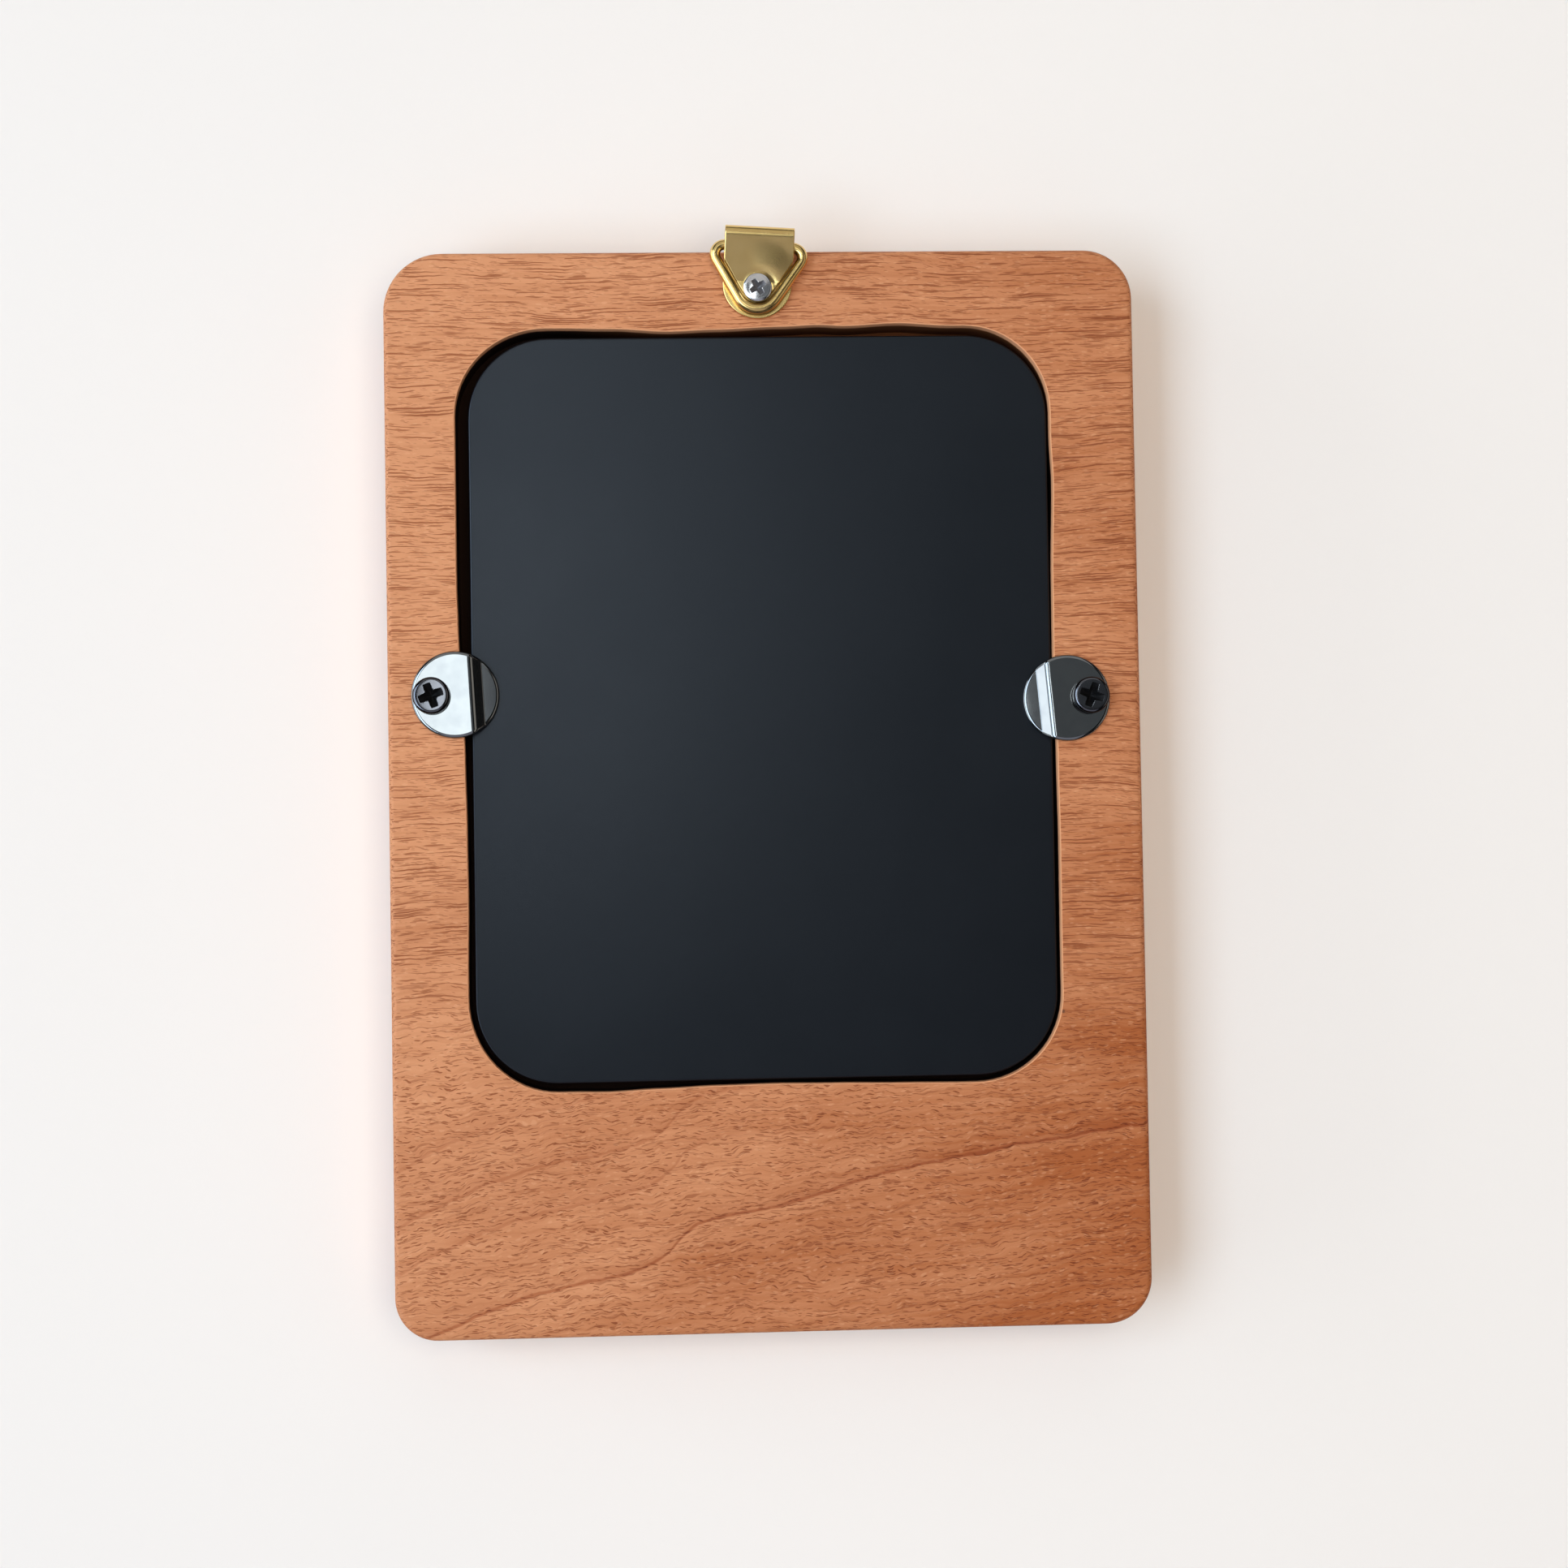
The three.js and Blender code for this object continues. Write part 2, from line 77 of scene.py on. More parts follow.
# Lamps in metres and watts: name, place, aim, size, power and colour. Some don't show in mirrors.
LAMPS = (
    ("lamp", (-0.0975, 0.165, 1.0), (-0.0975, 0.165, 0.0), (0.125, 0.39), 0.56, (0.93, 0.99, 1.0)),
    ("window", (-1.95, -0.3, 2.5), (-1.95, -0.3, 0.0), (1.66, 2.9), 78.0, (0.69, 0.83, 0.97)),
    ("wall", (-2.4, 0.0, 1.56), (0.0, 0.0, 1.56), (2.8, 1.2), 8.5, (0.8, 0.9, 1.0)),
    ("horizon", (-2.4, 0.0, 0.6), (0.0, 0.0, 0.6), (2.8, 0.7), 20.0, (0.9, 0.96, 1.0)),
    ("front", (0.0, -0.92, 1.18), (0.0, 0.0, 0.0), (1.2, 1.3), 2.2, (0.90, 0.88, 1.0)),
    ("back", (0.0, 1.06, 1.06), (0.0, 0.0, 0.0), (1.6, 1.3), 3.3, (1.0, 0.97, 0.93)),
    ("side", (1.2, 0.0, 0.95), (0.0, 0.0, 0.0), (1.4, 0.7), 1.6, (1.0, 0.9, 0.78)),
    ("near_ceiling", (0.04, 0.1875, 1.02), (0.04, 0.1875, 0.0), (0.14, 0.415), 0.051, (0.9, 0.96, 1.0)),
    ("far_ceiling", (0.255, 0.1875, 1.02), (0.255, 0.1875, 0.0), (0.29, 0.415), 0.057, (0.9, 0.97, 1.0)),
    ("fill", (0.16, 0.0, 1.1), (0.16, 0.0, 0.0), (0.5, 0.6), 5.1, (1.0, 0.83, 0.65)),
)
UNMIRRORED_LAMPS = ("fill",)

# Board in millimetres: corner radii anticlockwise from the lower left, lip and rounded edges.
BOARD_WIDTH = 115.0
BOARD_TOP = 15.0
BOARD_RADII = (6.5, 7.0, 7.5, 9.0)
BOARD_EDGE = 0.8
LIP_THICKNESS = 7.95
OPENING_INSET = 5.0
OPENING_RADII = (7.5,) * 4
OPENING_EDGE = 0.7
REBATE_RADII = (13.85, 13.2, 13.2, 13.3)
REBATE_ROOM = {"left": 1.2, "right": 0.4, "top": 1.1, "bottom": 0.8}
REBATE_EDGE = 0.18
FACE_MARGIN = 0.15
CORNER_STEPS = 16
SIDE_STEPS = 72
EDGE_STEPS = 5
FACE_STEPS = 8
SHARP_ANGLE = 40.0

# How far the hand-cut rebate strays outwards from a true rectangle: (place along the side, offset).
CUT_LEFT = (
    (-30, -0.32), (-18, -0.48), (-8, -0.42), (4, -0.25),
    (13, 0.15), (24, 0.58), (30, 0.72), (55, 0.7),
)
CUT_RIGHT = ((-28, 0.1), (-10, 0.16), (3, 0.06), (18, -0.24), (30, -0.18), (45, 0.18), (52, -0.1))
CUT_TOP = (
    (-31, 0.0), (-23, -0.15), (-14, -0.6), (-7, -0.35), (3, 0.05),
    (9, 0.28), (13, 0.1), (21, 0.48), (29, 0.06),
)
CUT_BOTTOM = (
    (-31, 0.36), (-25, 0.46), (-17, 0.13), (-8, -0.18),
    (0, -0.3), (10, -0.19), (20, -0.02), (29, 0.08),
)

# Wall of the rebate: painted shade deep down in the gap, painted shade in brown at the top end, bare wood at
# the rim, and where they change.
CUT_SHADES_AND_WOOD = ((0.012, 0.006, 0.004, 1), (0.11, 0.038, 0.014, 1), (0.72, 0.345, 0.18, 1))
CUT_END_UP = (48.0, 58.0)
CUT_END_ACROSS = (-32.0, -12.0)
CUT_RIM = (13.0, 14.0)
CHIP_SCALE = (0.5, 0.5, 1.2)
CHIP_HEIGHT = 0.5

# Scales of noise and cells are per millimetre, and most noise lies in this range.
NOISE_RANGE = (0.3, 0.7)

# Wood colour: tone from light to dark by place in millimetres, with noise.
WOOD_LIGHT = (0.675, 0.302, 0.145, 1)
WOOD_DARK = (0.375, 0.102, 0.024, 1)
TONE_START = 0.26
TONE_ACROSS = 0.30
TONE_DOWN = (15.0, -80.0, 0.0, 0.30)
TONE_RIGHT = (8.0, 55.0)
TONE_LOW = (-12.0, -45.0, 0.0, 0.11)
TONE_NOISE = 0.9
BLOTCH_SCALE = (0.03, 0.09, 0.09)
FIBRE_SCALE = (0.07, 1.3, 1.3)
FIBRE_RELIEF = 0.4
WOOD_ROUGHNESS = (0.5, 0.62)
WOOD_BUMP = (0.06, 0.6)

# Course of the grain in millimetres: tilt, slow wandering, and ripple high and low on the board.
LOW_PART = (-22.0, -50.0)
GRAIN_TILT = (0.0, -80.0, 0.0, -0.12)
WANDER_SCALE = (0.025, 0.03, 0.05)
WANDER_HEIGHT = 5.0
RIPPLE_SCALE = (0.25, 0.3, 0.3)
RIPPLE_HEIGHTS = (0.6, 2.2)

# Growth lines in millimetres: course of the distinct one on the back, and slant in the depth. Levels
# are height above it, strength, and whether a line crosses the whole board or only the left part.
GROWTH_RANGE = (-90.0, -50.0)
GROWTH_LINE = (
    (-57.5, -86.5), (-39.7, -78.6), (-19.0, -73.5), (-11.0, -67.3),
    (0.0, -65.1), (17.0, -60.5), (57.5, -53.6),
)
GROWTH_SLANT = 0.9
GROWTH_LEVELS = ((0.0, 1.0, True), (12.0, 0.55, False), (19.0, 0.6, False), (27.5, 0.4, False))
LEFT_PART = (8.0, -22.0)
LINE_RIPPLE = 1.2
LINE_EDGE = (0.45, 0.1)
LINE_SHADE = (3.0, 0.0, 0.0, 0.3)
LINE_GLOW = (-3.0, -0.2)

# Dark dashes in the wood: cells per millimetre, slant of the cells, shift, share of empty cells,
# reach in a cell, and how dark they are high on the board and low on it.
WOOD_DASHES = (
    ((0.085, 4.6, 4.6), 3.4, (0, 0, 0), 0.28, 0.60, (1.00, 0.20)),
    ((0.30, 4.4, 4.4), -3.1, (31, 17, 5), 0.33, 0.60, (0.85, 0.55)),
    ((1.00, 5.0, 5.0), 3.7, (61, 47, 9), 0.30, 0.62, (0.55, 1.00)),
)
DASH_SOFTNESS = 0.16

# Long dark streaks and the groups that they come in: scale, roughness, shift and range of the noise.
STREAKS = (
    ((0.16, 2.0, 2.0), 0.6, (13, 7, 3), (0.55, 0.72)),
    ((0.03, 0.16, 0.16), 0.5, (3, 29, 1), (0.38, 0.6)),
)
STREAK_SHARES = (0.8, 0.25)

# Pale flecks: scale of the cells, shift, reach in a cell and softness.
FLECK = ((0.8, 2.2, 2.2), (5, 83, 21), 0.5)
FLECK_SOFTNESS = 0.2

# Pin knot: place on the board, and radius, in millimetres.
KNOT_PLACE = (44.6, -36.5)
KNOT_RADIUS = 0.4

# Colours laid over the wood: how strongly, which, and how it is mixed in.
WOOD_LAYERS = {
    "glow": (0.22, (0.72, 0.34, 0.17, 1), "MIX"),
    "flecks": (0.2, (0.82, 0.46, 0.26, 1), "MIX"),
    "lines": (0.85, (0.66, 0.46, 0.34, 1), "MULTIPLY"),
    "dashes": (1.0, (0.52, 0.36, 0.265, 1), "MULTIPLY"),
    "knot": (0.7, (0.05, 0.02, 0.012, 1), "MIX"),
}

# Backing board in millimetres, and its satin surface.
PANEL_RADII = (12.5,) * 4
PANEL_EDGE = 0.3
PANEL_COLOURS = ((0.0018, 0.0026, 0.0042, 1), (0.0028, 0.0037, 0.0056, 1))
PANEL_GRAIN = (5.0,) * 3
PANEL_CLOUD = (0.05,) * 3
PANEL_ROUGHNESS = (0.285, 0.31)
PANEL_BUMP = (0.02, 0.35)

# Clear sheet, and print: border in millimetres, and bands with their heights and two colours.
WIPE_SCALE = (0.4, 0.05, 0.05)
WIPE_ROUGHNESS = (0.4, 0.75, 0.01, 0.05)
PRINT_BORDER = 9.0
PRINT_CLOUD = (0.02, 0.06, 0.06)
PRINT_WAVE = 14.0
PRINT_SAND = ((-50.0, 5.0), (0.56, 0.47, 0.36, 1), (0.72, 0.64, 0.53, 1))
PRINT_SKY = ((5.0, 70.0), (0.78, 0.82, 0.84, 1), (0.38, 0.52, 0.64, 1))
PRINT_HORIZON = (4.0, 9.0)
PRINT_WHITE = (0.86, 0.85, 0.83, 1)
PRINT_ROUGHNESS = (0.4, 0.5)

# Metals: colour, colour of stains, roughness, scale of the brushing, and relief of brushing and dents.
METALS = {
    "black_nickel": ((0.27, 0.285, 0.295), (0.24, 0.255, 0.27), 0.1, (0.5, 9.0, 9.0), (0.03, 0.1)),
    "black_steel": ((0.145, 0.150, 0.170), (0.115, 0.118, 0.132), 0.12, (6.0, 6.0, 6.0), (0.0, 0.15)),
    "brass": ((0.88, 0.63, 0.25), (0.82, 0.57, 0.21), 0.24, (3.0, 1.2, 3.0), (0.0, 0.12)),
    "bright_steel": ((0.82, 0.82, 0.84), (0.70, 0.70, 0.73), 0.16, (5.0, 5.0, 5.0), (0.0, 0.2)),
}
STAIN_SCALE = (0.35,) * 3
STAIN_RANGE = (0.35, 0.75)
DENT_SCALE = (0.22,) * 3
BRUSH_RANGE = (0.25, 0.75)
BRUSH_SPREAD = (0.97, 1.04)
METAL_BUMP = 0.02

# Black coat of the button screws: depth below the top, and fade, in millimetres. The top stays bare; the
# black below it is partly the screws' black finish and partly painted shade on the shoulder.
SHADED_SIDE_DEPTH = 0.085
COAT_FADE = 0.045
BLACK_COAT_AND_SHADE = (0.018, 0.018, 0.020, 1)

# Insides of the cross recesses: painted shade, in a darker and a paler colour.
RECESS_SHADES = {
    "black_shaded_recess": ((0.008, 0.008, 0.009, 1), (0.022, 0.023, 0.026, 1)),
    "grey_shaded_recess": ((0.10, 0.10, 0.11, 1), (0.34, 0.34, 0.36, 1)),
}
RECESS_CLOUD_SCALE = (2.0,) * 3
RECESS_CLOUD_ROUGHNESS = (0.35, 0.6)

# Turn buttons in millimetres: plate, rounding of its edge in from the rim and down, and step. The
# pressed tongue curls between two angles in degrees, from its root to its tip.
PLATE_THICKNESS = 0.7
PLATE_DIAMETER = 13.2
PLATE_OFFSET = 3.5
PLATE_EDGE = (0.5, 0.33)
STEP_START = 5.65
STEP_DROP = 1.6
STEP_ANGLE = 43.0
STEP_BENDS = (1.0, 0.6)
SLOPE_TRIES = 30
TONGUE_CURL = (-3.4, -6.5)
BUTTON_TURNS = {"left": 3.0, "right": 185.0}

# Screws in millimetres, and the turn of each cross recess in degrees.
BUTTON_SCREW = {
    "head": 5.6, "height": 1.9, "crown": 0.023, "thread": 2.9, "length": 10.0,
    "span": 3.8, "arm": 1.05, "depth": 1.4,
}
HANGER_SCREW = {
    "head": 4.4, "height": 1.4, "crown": 0.16, "thread": 2.2, "length": 9.0,
    "span": 2.7, "arm": 0.75, "depth": 1.0,
}
SCREW_TURNS = {"turn_button_screw_left": 20.0, "turn_button_screw_right": -19.0, "hanger_screw": 32.0}
SCREW_SEGMENTS = 64

# Screw heads: shoulder as a share of the height, steps, bevel at the foot, and sharp angle in degrees.
SHOULDER_SHARE = 0.28
CROWN_STEPS = 8
SHOULDER_STEPS = 10
HEAD_FOOT = 0.06
HEAD_SHARP_ANGLE = 30.0

# Threads: pitch, depth and length of the point as shares of the diameter, rows in a turn, and tip.
THREAD_PITCH = 0.42
THREAD_DEPTH = 0.15
THREAD_ROWS = 10
POINT_LENGTH = 0.9
POINT_TIP = 0.05

# Cross recesses: shares of span, depth and arm, and the rounded edge in millimetres and degrees.
RECESS_TAPER = 0.5
RECESS_RISE = 0.3
RECESS_POINT = 1.35
RECESS_CORNER = 1.25
RECESS_EDGE = 0.06
RECESS_EDGE_STEPS = 2
RECESS_EDGE_ANGLE = 38.0

# Hanger strap in millimetres, as measured from its screw towards the top edge.
STRAP_WIDTH = 10.6
STRAP_THICKNESS = 0.7
STRAP_EDGE = (0.14, 0.14)
STRAP_REACH = 4.4
STRAP_BEND = 0.8
STRAP_GAP = 0.1
SLOPE_END = 1.0
TONGUE_RADIUS = 2.3

# Fold of the strap: inner radius, distance of its centre beyond the bar, radius of its two bends, and
# the share that its inner half thins to, over a span of each layer.
FOLD_RADIUS = 1.1
FOLD_SLACK = 1.05
FOLD_BEND = 0.9
FOLD_INNER_SHARE = 0.75
FOLD_THINNING = ((7.3, 8.1), (3.6, 5.2))

# Curl of the strap beside its screw: where it starts, is highest and ends, its height and direction.
CURL_RADII = (2.2, 3.7, 7.6)
CURL_HEIGHT = 0.25
CURL_WAY = (0.42, -0.91)

# Ring in millimetres, as measured from the strap's screw.
BAR_REACH = 6.5
WIRE_RADIUS = 0.8
RING_WIDTH = 15.0
RING_CORNER = 1.5
RING_BUTT_GAP = 0.1
RING_APEX_RADIUS = 3.35
RING_APEX_Y = 0.25
WIRE_SIDES = 24
RING_STEP = 0.2

# Fineness of bent sheets.
SHEET_STATIONS = 220
SHEET_COLUMNS = 20
SHEET_EDGE_STEPS = 4


def new_object(name, data):
    piece = bpy.data.objects.new(name, data)
    scene.collection.objects.link(piece)
    return piece


def solid(name, points, faces, look):
    """Piece from points in millimetres, smooth but for its sharp edges."""
    mesh = bpy.data.meshes.new(name)
    mesh.from_pydata([Vector(point) * MM for point in points], [], faces)
    mesh.validate()
    mesh.shade_smooth()
    mesh.set_sharp_from_angle(angle=radians(SHARP_ANGLE))
    mesh.materials.append(look)
    return new_object(name, mesh)


def stand_for(piece, node, body):
    """The piece is shown in place of a node and moves with a body."""
    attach(piece, body)
    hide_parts(node)


def node_box(node):
    """Lowest and highest corner of a node in millimetres."""
    low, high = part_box(node)
    return low / MM, high / MM


def joint_place(name):
    """Place in millimetres and axis of a joint."""
    joint = next(joint for joint in frame["joints"] if joint["name"] == name)
    return Vector(joint["pos_m"]) / MM, Vector(joint["axis"])


# Node materials.
class Nodes:
    """Shader nodes: their inputs take plain values or the sockets of other nodes."""

    def __init__(self, tree):
        self.tree = tree

    def add(self, kind, inputs=None, **settings):
        node = self.tree.nodes.new("ShaderNode" + kind)
        for key, value in settings.items():
            setattr(node, key, value)
        self.feed(node, inputs or {})
        return node

    def feed(self, node, inputs):
        for key, value in inputs.items():
            if isinstance(value, bpy.types.NodeSocket):
                self.tree.links.new(value, node.inputs[key])
            else:
                node.inputs[key].default_value = value

    def math(self, operation, *values):
        return self.add("Math", dict(enumerate(values)), operation=operation).outputs[0]

    def plus(self, *values):
        return self.math("ADD", *values)

    def minus(self, *values):
        return self.math("SUBTRACT", *values)

    def times(self, *values):
        return self.math("MULTIPLY", *values)

    def most(self, values):
        """The highest of some values."""
        highest = values[0]
        for value in values[1:]:
            highest = self.math("MAXIMUM", highest, value)
        return highest

    def rays(self):
        """Whether a ray is the camera's, and whether it was mirrored or went through glass."""
        path = self.add("LightPath").outputs
        return path["Is Camera Ray"], self.most([path["Is Glossy Ray"], path["Is Transmission Ray"]])


class Look(Nodes):
    """A material with one principled shader, on coordinates in millimetres."""

    def __init__(self, name, constants):
        self.material = bpy.data.materials.new(name)
        self.material.use_nodes = True
        super().__init__(self.material.node_tree)
        self.tree.nodes.clear()
        self.shader = self.add("BsdfPrincipled", constants)
        self.add("OutputMaterial", {"Surface": self.shader.outputs[0]})
        place = self.add("TexCoord").outputs["Object"]
        self.place = self.vector("SCALE", place, Scale=1 / MM)

    def vector(self, operation, *values, **named):
        inputs = {**dict(enumerate(values)), **named}
        return self.add("VectorMath", inputs, operation=operation).outputs[0]

    def length(self, vector):
        return self.add("VectorMath", {0: vector}, operation="LENGTH").outputs["Value"]

    def axes(self, place=None):
        """The coordinates of a place across, up and out of the board."""
        return self.add("SeparateXYZ", {0: place or self.place}).outputs

    def stretched(self, scale, shift=(0, 0, 0), place=None):
        """Coordinates in millimetres, scaled along each axis."""
        moved = self.vector("ADD", place or self.place, shift)
        return self.vector("MULTIPLY", moved, scale)

    def noise(self, scale, detail=2.0, roughness=0.5, shift=(0, 0, 0), place=None):
        vector = self.stretched(scale, shift, place)
        inputs = {"Vector": vector, "Scale": 1.0, "Detail": detail, "Roughness": roughness}
        return self.add("TexNoise", inputs).outputs[0]

    def swing(self, noise, height):
        """A noise as a swing to either side of zero."""
        return self.times(self.minus(noise, 0.5), height)

    def cells(self, scale, shift=(0, 0, 0), place=None):
        """Distance to the nearest of scattered points, and a random number for that point."""
        vector = self.stretched(scale, shift, place)
        cell = self.add("TexVoronoi", {"Vector": vector, "Scale": 1.0})
        number = self.add("SeparateColor", {0: cell.outputs["Color"]}).outputs[0]
        return cell.outputs["Distance"], number

    def ramp(self, value, start, end, low=0.0, high=1.0):
        inputs = {"Value": value, "From Min": start, "From Max": end, "To Min": low, "To Max": high}
        return self.add("MapRange", inputs, interpolation_type="SMOOTHSTEP").outputs[0]

    def mix(self, share, first, second, blend="MIX"):
        node = self.add("Mix", {0: share, 6: first, 7: second}, data_type="RGBA", blend_type=blend)
        return node.outputs[2]

    def bump(self, height, distance, strength=1.0):
        inputs = {"Height": height, "Distance": distance * MM, "Strength": strength}
        return self.add("Bump", inputs).outputs[0]

    def finish(self, inputs):
        self.feed(self.shader, inputs)
        return self.material


def growth_line(look, across):
    """Height in millimetres of the distinct growth line at a place across the board."""
    low, high = GROWTH_RANGE
    share = look.math("MULTIPLY_ADD", across, 1 / BOARD_WIDTH, 0.5)
    node = look.add("FloatCurve", {"Value": share})
    curve = node.mapping.curves[0]
    knots = [(x / BOARD_WIDTH + 0.5, (y - low) / (high - low)) for x, y in GROWTH_LINE]
    for place in knots[1:-1]:
        curve.points.new(*place)
    curve.points[0].location = knots[0]
    curve.points[-1].location = knots[-1]
    node.mapping.update()
    return look.math("MULTIPLY_ADD", node.outputs[0], high - low, low)


def wood_grain(look, across, up, low_part):
    """Coordinates that follow the wandering grain, and the ripple in it."""
    tilt = look.times(across, look.ramp(up, *GRAIN_TILT))
    sway = look.swing(look.noise(WANDER_SCALE), WANDER_HEIGHT)
    ripple = look.noise(RIPPLE_SCALE)
    shake = look.swing(ripple, look.ramp(low_part, 0.0, 1.0, *RIPPLE_HEIGHTS))
    rise = look.plus(look.plus(sway, shake), tilt)
    return look.vector("ADD", look.place, look.add("CombineXYZ", {1: rise}).outputs[0]), ripple


def wood_tone(look, across, up, grain, fibre):
    """How dark the wood is: darker to the right and downwards, with blotches and fibres."""
    tone = TONE_START
    parts = (
        look.times(across, TONE_ACROSS / (BOARD_WIDTH / 2)),
        look.ramp(up, *TONE_DOWN),
        look.times(look.ramp(across, *TONE_RIGHT), look.ramp(up, *TONE_LOW)),
        look.swing(look.noise(BLOTCH_SCALE, 3.0, place=grain), TONE_NOISE),
        look.swing(fibre, TONE_NOISE),
    )
    for part in parts:
        tone = look.plus(tone, part)
    return tone


def wood_dashes(look, grain, low_part):
    """Dark dashes and longer streaks along the grain."""
    marks = []
    grain_up = look.axes(grain)[1]
    for scale, slant, shift, empty, reach, shares in WOOD_DASHES:
        aside = look.add("CombineXYZ", {0: look.times(grain_up, slant)}).outputs[0]
        distance, number = look.cells(scale, shift, look.vector("ADD", grain, aside))
        width = look.times(look.minus(number, empty), reach / (1 - empty))
        dash = look.ramp(look.minus(width, distance), 0.0, DASH_SOFTNESS)
        marks.append(look.times(dash, look.ramp(low_part, 0.0, 1.0, *shares)))
    streaks = look.ramp(low_part, 0.0, 1.0, *STREAK_SHARES)
    for scale, roughness, shift, limits in STREAKS:
        streaks = look.times(streaks, look.ramp(look.noise(scale, 2.0, roughness, shift, grain), *limits))
    marks.append(streaks)
    return look.most(marks)


def growth_marks(look, across, up, height, ripple):
    """Dark growth lines with the shade above each, and the glow below each."""
    slanted = look.math("MULTIPLY_ADD", look.minus(height, BOARD_TOP), GROWTH_SLANT, up)
    above_line = look.minus(slanted, growth_line(look, across))
    near = look.plus(above_line, look.swing(ripple, LINE_RIPPLE))
    left_part = look.ramp(across, *LEFT_PART)
    lines, glows = [], []
    for level, strength, whole in GROWTH_LEVELS:
        gap = look.minus(near, level)
        line = look.ramp(look.math("ABSOLUTE", gap), *LINE_EDGE)
        shade = look.times(look.ramp(gap, *LINE_SHADE), look.math("GREATER_THAN", gap, 0.0))
        glow = look.times(look.ramp(gap, *LINE_GLOW), look.math("LESS_THAN", gap, LINE_GLOW[1]))
        share = strength if whole else look.times(left_part, strength)
        lines.append(look.times(look.most([line, shade]), share))
        glows.append(look.times(glow, share))
    return look.most(lines), look.most(glows)


def wood_look():
    """Orange-brown hardwood: long streaks above, stippled pores and growth lines below."""
    look = Look("oiled_wood", {"Specular IOR Level": 0.3})
    across, up, height = look.axes()
    low_part = look.ramp(up, *LOW_PART)
    grain, ripple = wood_grain(look, across, up, low_part)
    fibre = look.noise(FIBRE_SCALE, 4.0, 0.6, place=grain)
    lines, glow = growth_marks(look, across, up, height, ripple)
    scale, shift, reach = FLECK
    distance, number = look.cells(scale, shift, grain)
    fleck = look.minus(look.times(number, reach), distance)
    from_knot = look.length(look.vector("SUBTRACT", look.place, (*KNOT_PLACE, BOARD_TOP)))
    marks = {
        "glow": glow,
        "flecks": look.ramp(fleck, 0.0, FLECK_SOFTNESS),
        "lines": lines,
        "dashes": wood_dashes(look, grain, low_part),
        "knot": look.ramp(from_knot, KNOT_RADIUS, KNOT_RADIUS / 3),
    }
    colour = look.mix(wood_tone(look, across, up, grain, fibre), WOOD_LIGHT, WOOD_DARK)
    for name, (strength, tint, blend) in WOOD_LAYERS.items():
        colour = look.mix(look.times(marks[name], strength), colour, tint, blend)
    rough = look.ramp(fibre, *NOISE_RANGE, *WOOD_ROUGHNESS)
    relief = look.minus(look.times(fibre, FIBRE_RELIEF), marks["dashes"])
    return look.finish({"Base Color": colour, "Roughness": rough, "Normal": look.bump(relief, *WOOD_BUMP)})


def cut_wood_look():
    """Wall of the rebate: bare wood at the rim, and painted shade darker down in the gap."""
    look = Look("cut_wood", {"Specular IOR Level": 0.1, "Roughness": 0.85})
    across, up, height = look.axes()
    # Black and brown are painted shade in the deep gap, the brown one at the top end; bare is the wood's own
    # colour at the rim.
    black, brown, bare = CUT_SHADES_AND_WOOD
    end_shade_share = look.times(look.ramp(up, *CUT_END_UP), look.ramp(across, *CUT_END_ACROSS))
    edge = look.math("MULTIPLY_ADD", look.noise(CHIP_SCALE, 3.0), CHIP_HEIGHT, height)
    colour = look.mix(look.ramp(edge, *CUT_RIM), look.mix(end_shade_share, black, brown), bare)
    return look.finish({"Base Color": colour})


def panel_look():
    """Satin black panel with a fine grain."""
    look = Look("black_panel", {"Specular IOR Level": 0.52, "Specular Tint": (0.77, 0.86, 1.0, 1)})
    cloud = look.noise(PANEL_CLOUD, 3.0)
    rough = look.ramp(cloud, *NOISE_RANGE, *PANEL_ROUGHNESS)
    grain = look.bump(look.noise(PANEL_GRAIN), *PANEL_BUMP)
    return look.finish({"Base Color": look.mix(cloud, *PANEL_COLOURS), "Roughness": rough, "Normal": grain})


def metal_look(name, shaded_below=None):
    """Plated metal: brushing, faint stains and dents, and below a height, if one is given, a black coat that
    is partly black finish and partly painted shade.
    """
    colour, stain_colour, rough, brush, reliefs = METALS[name]
    look = Look(name, {"Metallic": 1.0})
    lines = look.noise(brush, 3.0, 0.6)
    stain = look.ramp(look.noise(STAIN_SCALE, 3.0), *STAIN_RANGE)
    shade = look.mix(stain, (*colour, 1), (*stain_colour, 1))
    # Below the height the colour is black: partly the screw's black finish, partly painted shade that keeps
    # the shoulder dark.
    if shaded_below is not None:
        _, _, height = look.axes()
        bare_top = look.ramp(height, shaded_below - COAT_FADE, shaded_below)
        shade = look.mix(bare_top, BLACK_COAT_AND_SHADE, shade)
    dents = look.noise(DENT_SCALE, 1.0)
    parts = [look.times(part, share) for part, share in zip((lines, dents), reliefs)]
    roughness = look.ramp(lines, *BRUSH_RANGE, *[rough * share for share in BRUSH_SPREAD])
    relief = look.bump(look.plus(*parts), METAL_BUMP)
    return look.finish({"Base Color": shade, "Roughness": roughness, "Normal": relief})


def recess_look(name):
    """Inside of a cross recess, darkened with painted shade, with patchy roughness."""
    look = Look(name, {"Metallic": 0.6, "Specular IOR Level": 0.2})
    recess_cloud = look.noise(RECESS_CLOUD_SCALE, 3.0)
    rough = look.ramp(recess_cloud, *NOISE_RANGE, *RECESS_CLOUD_ROUGHNESS)
    # The two colours are painted shade in the recess.
    return look.finish({"Base Color": look.mix(recess_cloud, *RECESS_SHADES[name]), "Roughness": rough})


def acrylic_look():
    """Clear polished sheet with hardly visible wiping marks."""
    constants = {"Transmission Weight": 1.0, "IOR": 1.49, "Base Color": (0.97, 0.99, 0.985, 1)}
    look = Look("clear_acrylic", constants)
    return look.finish({"Roughness": look.ramp(look.noise(WIPE_SCALE, 3.0), *WIPE_ROUGHNESS)})


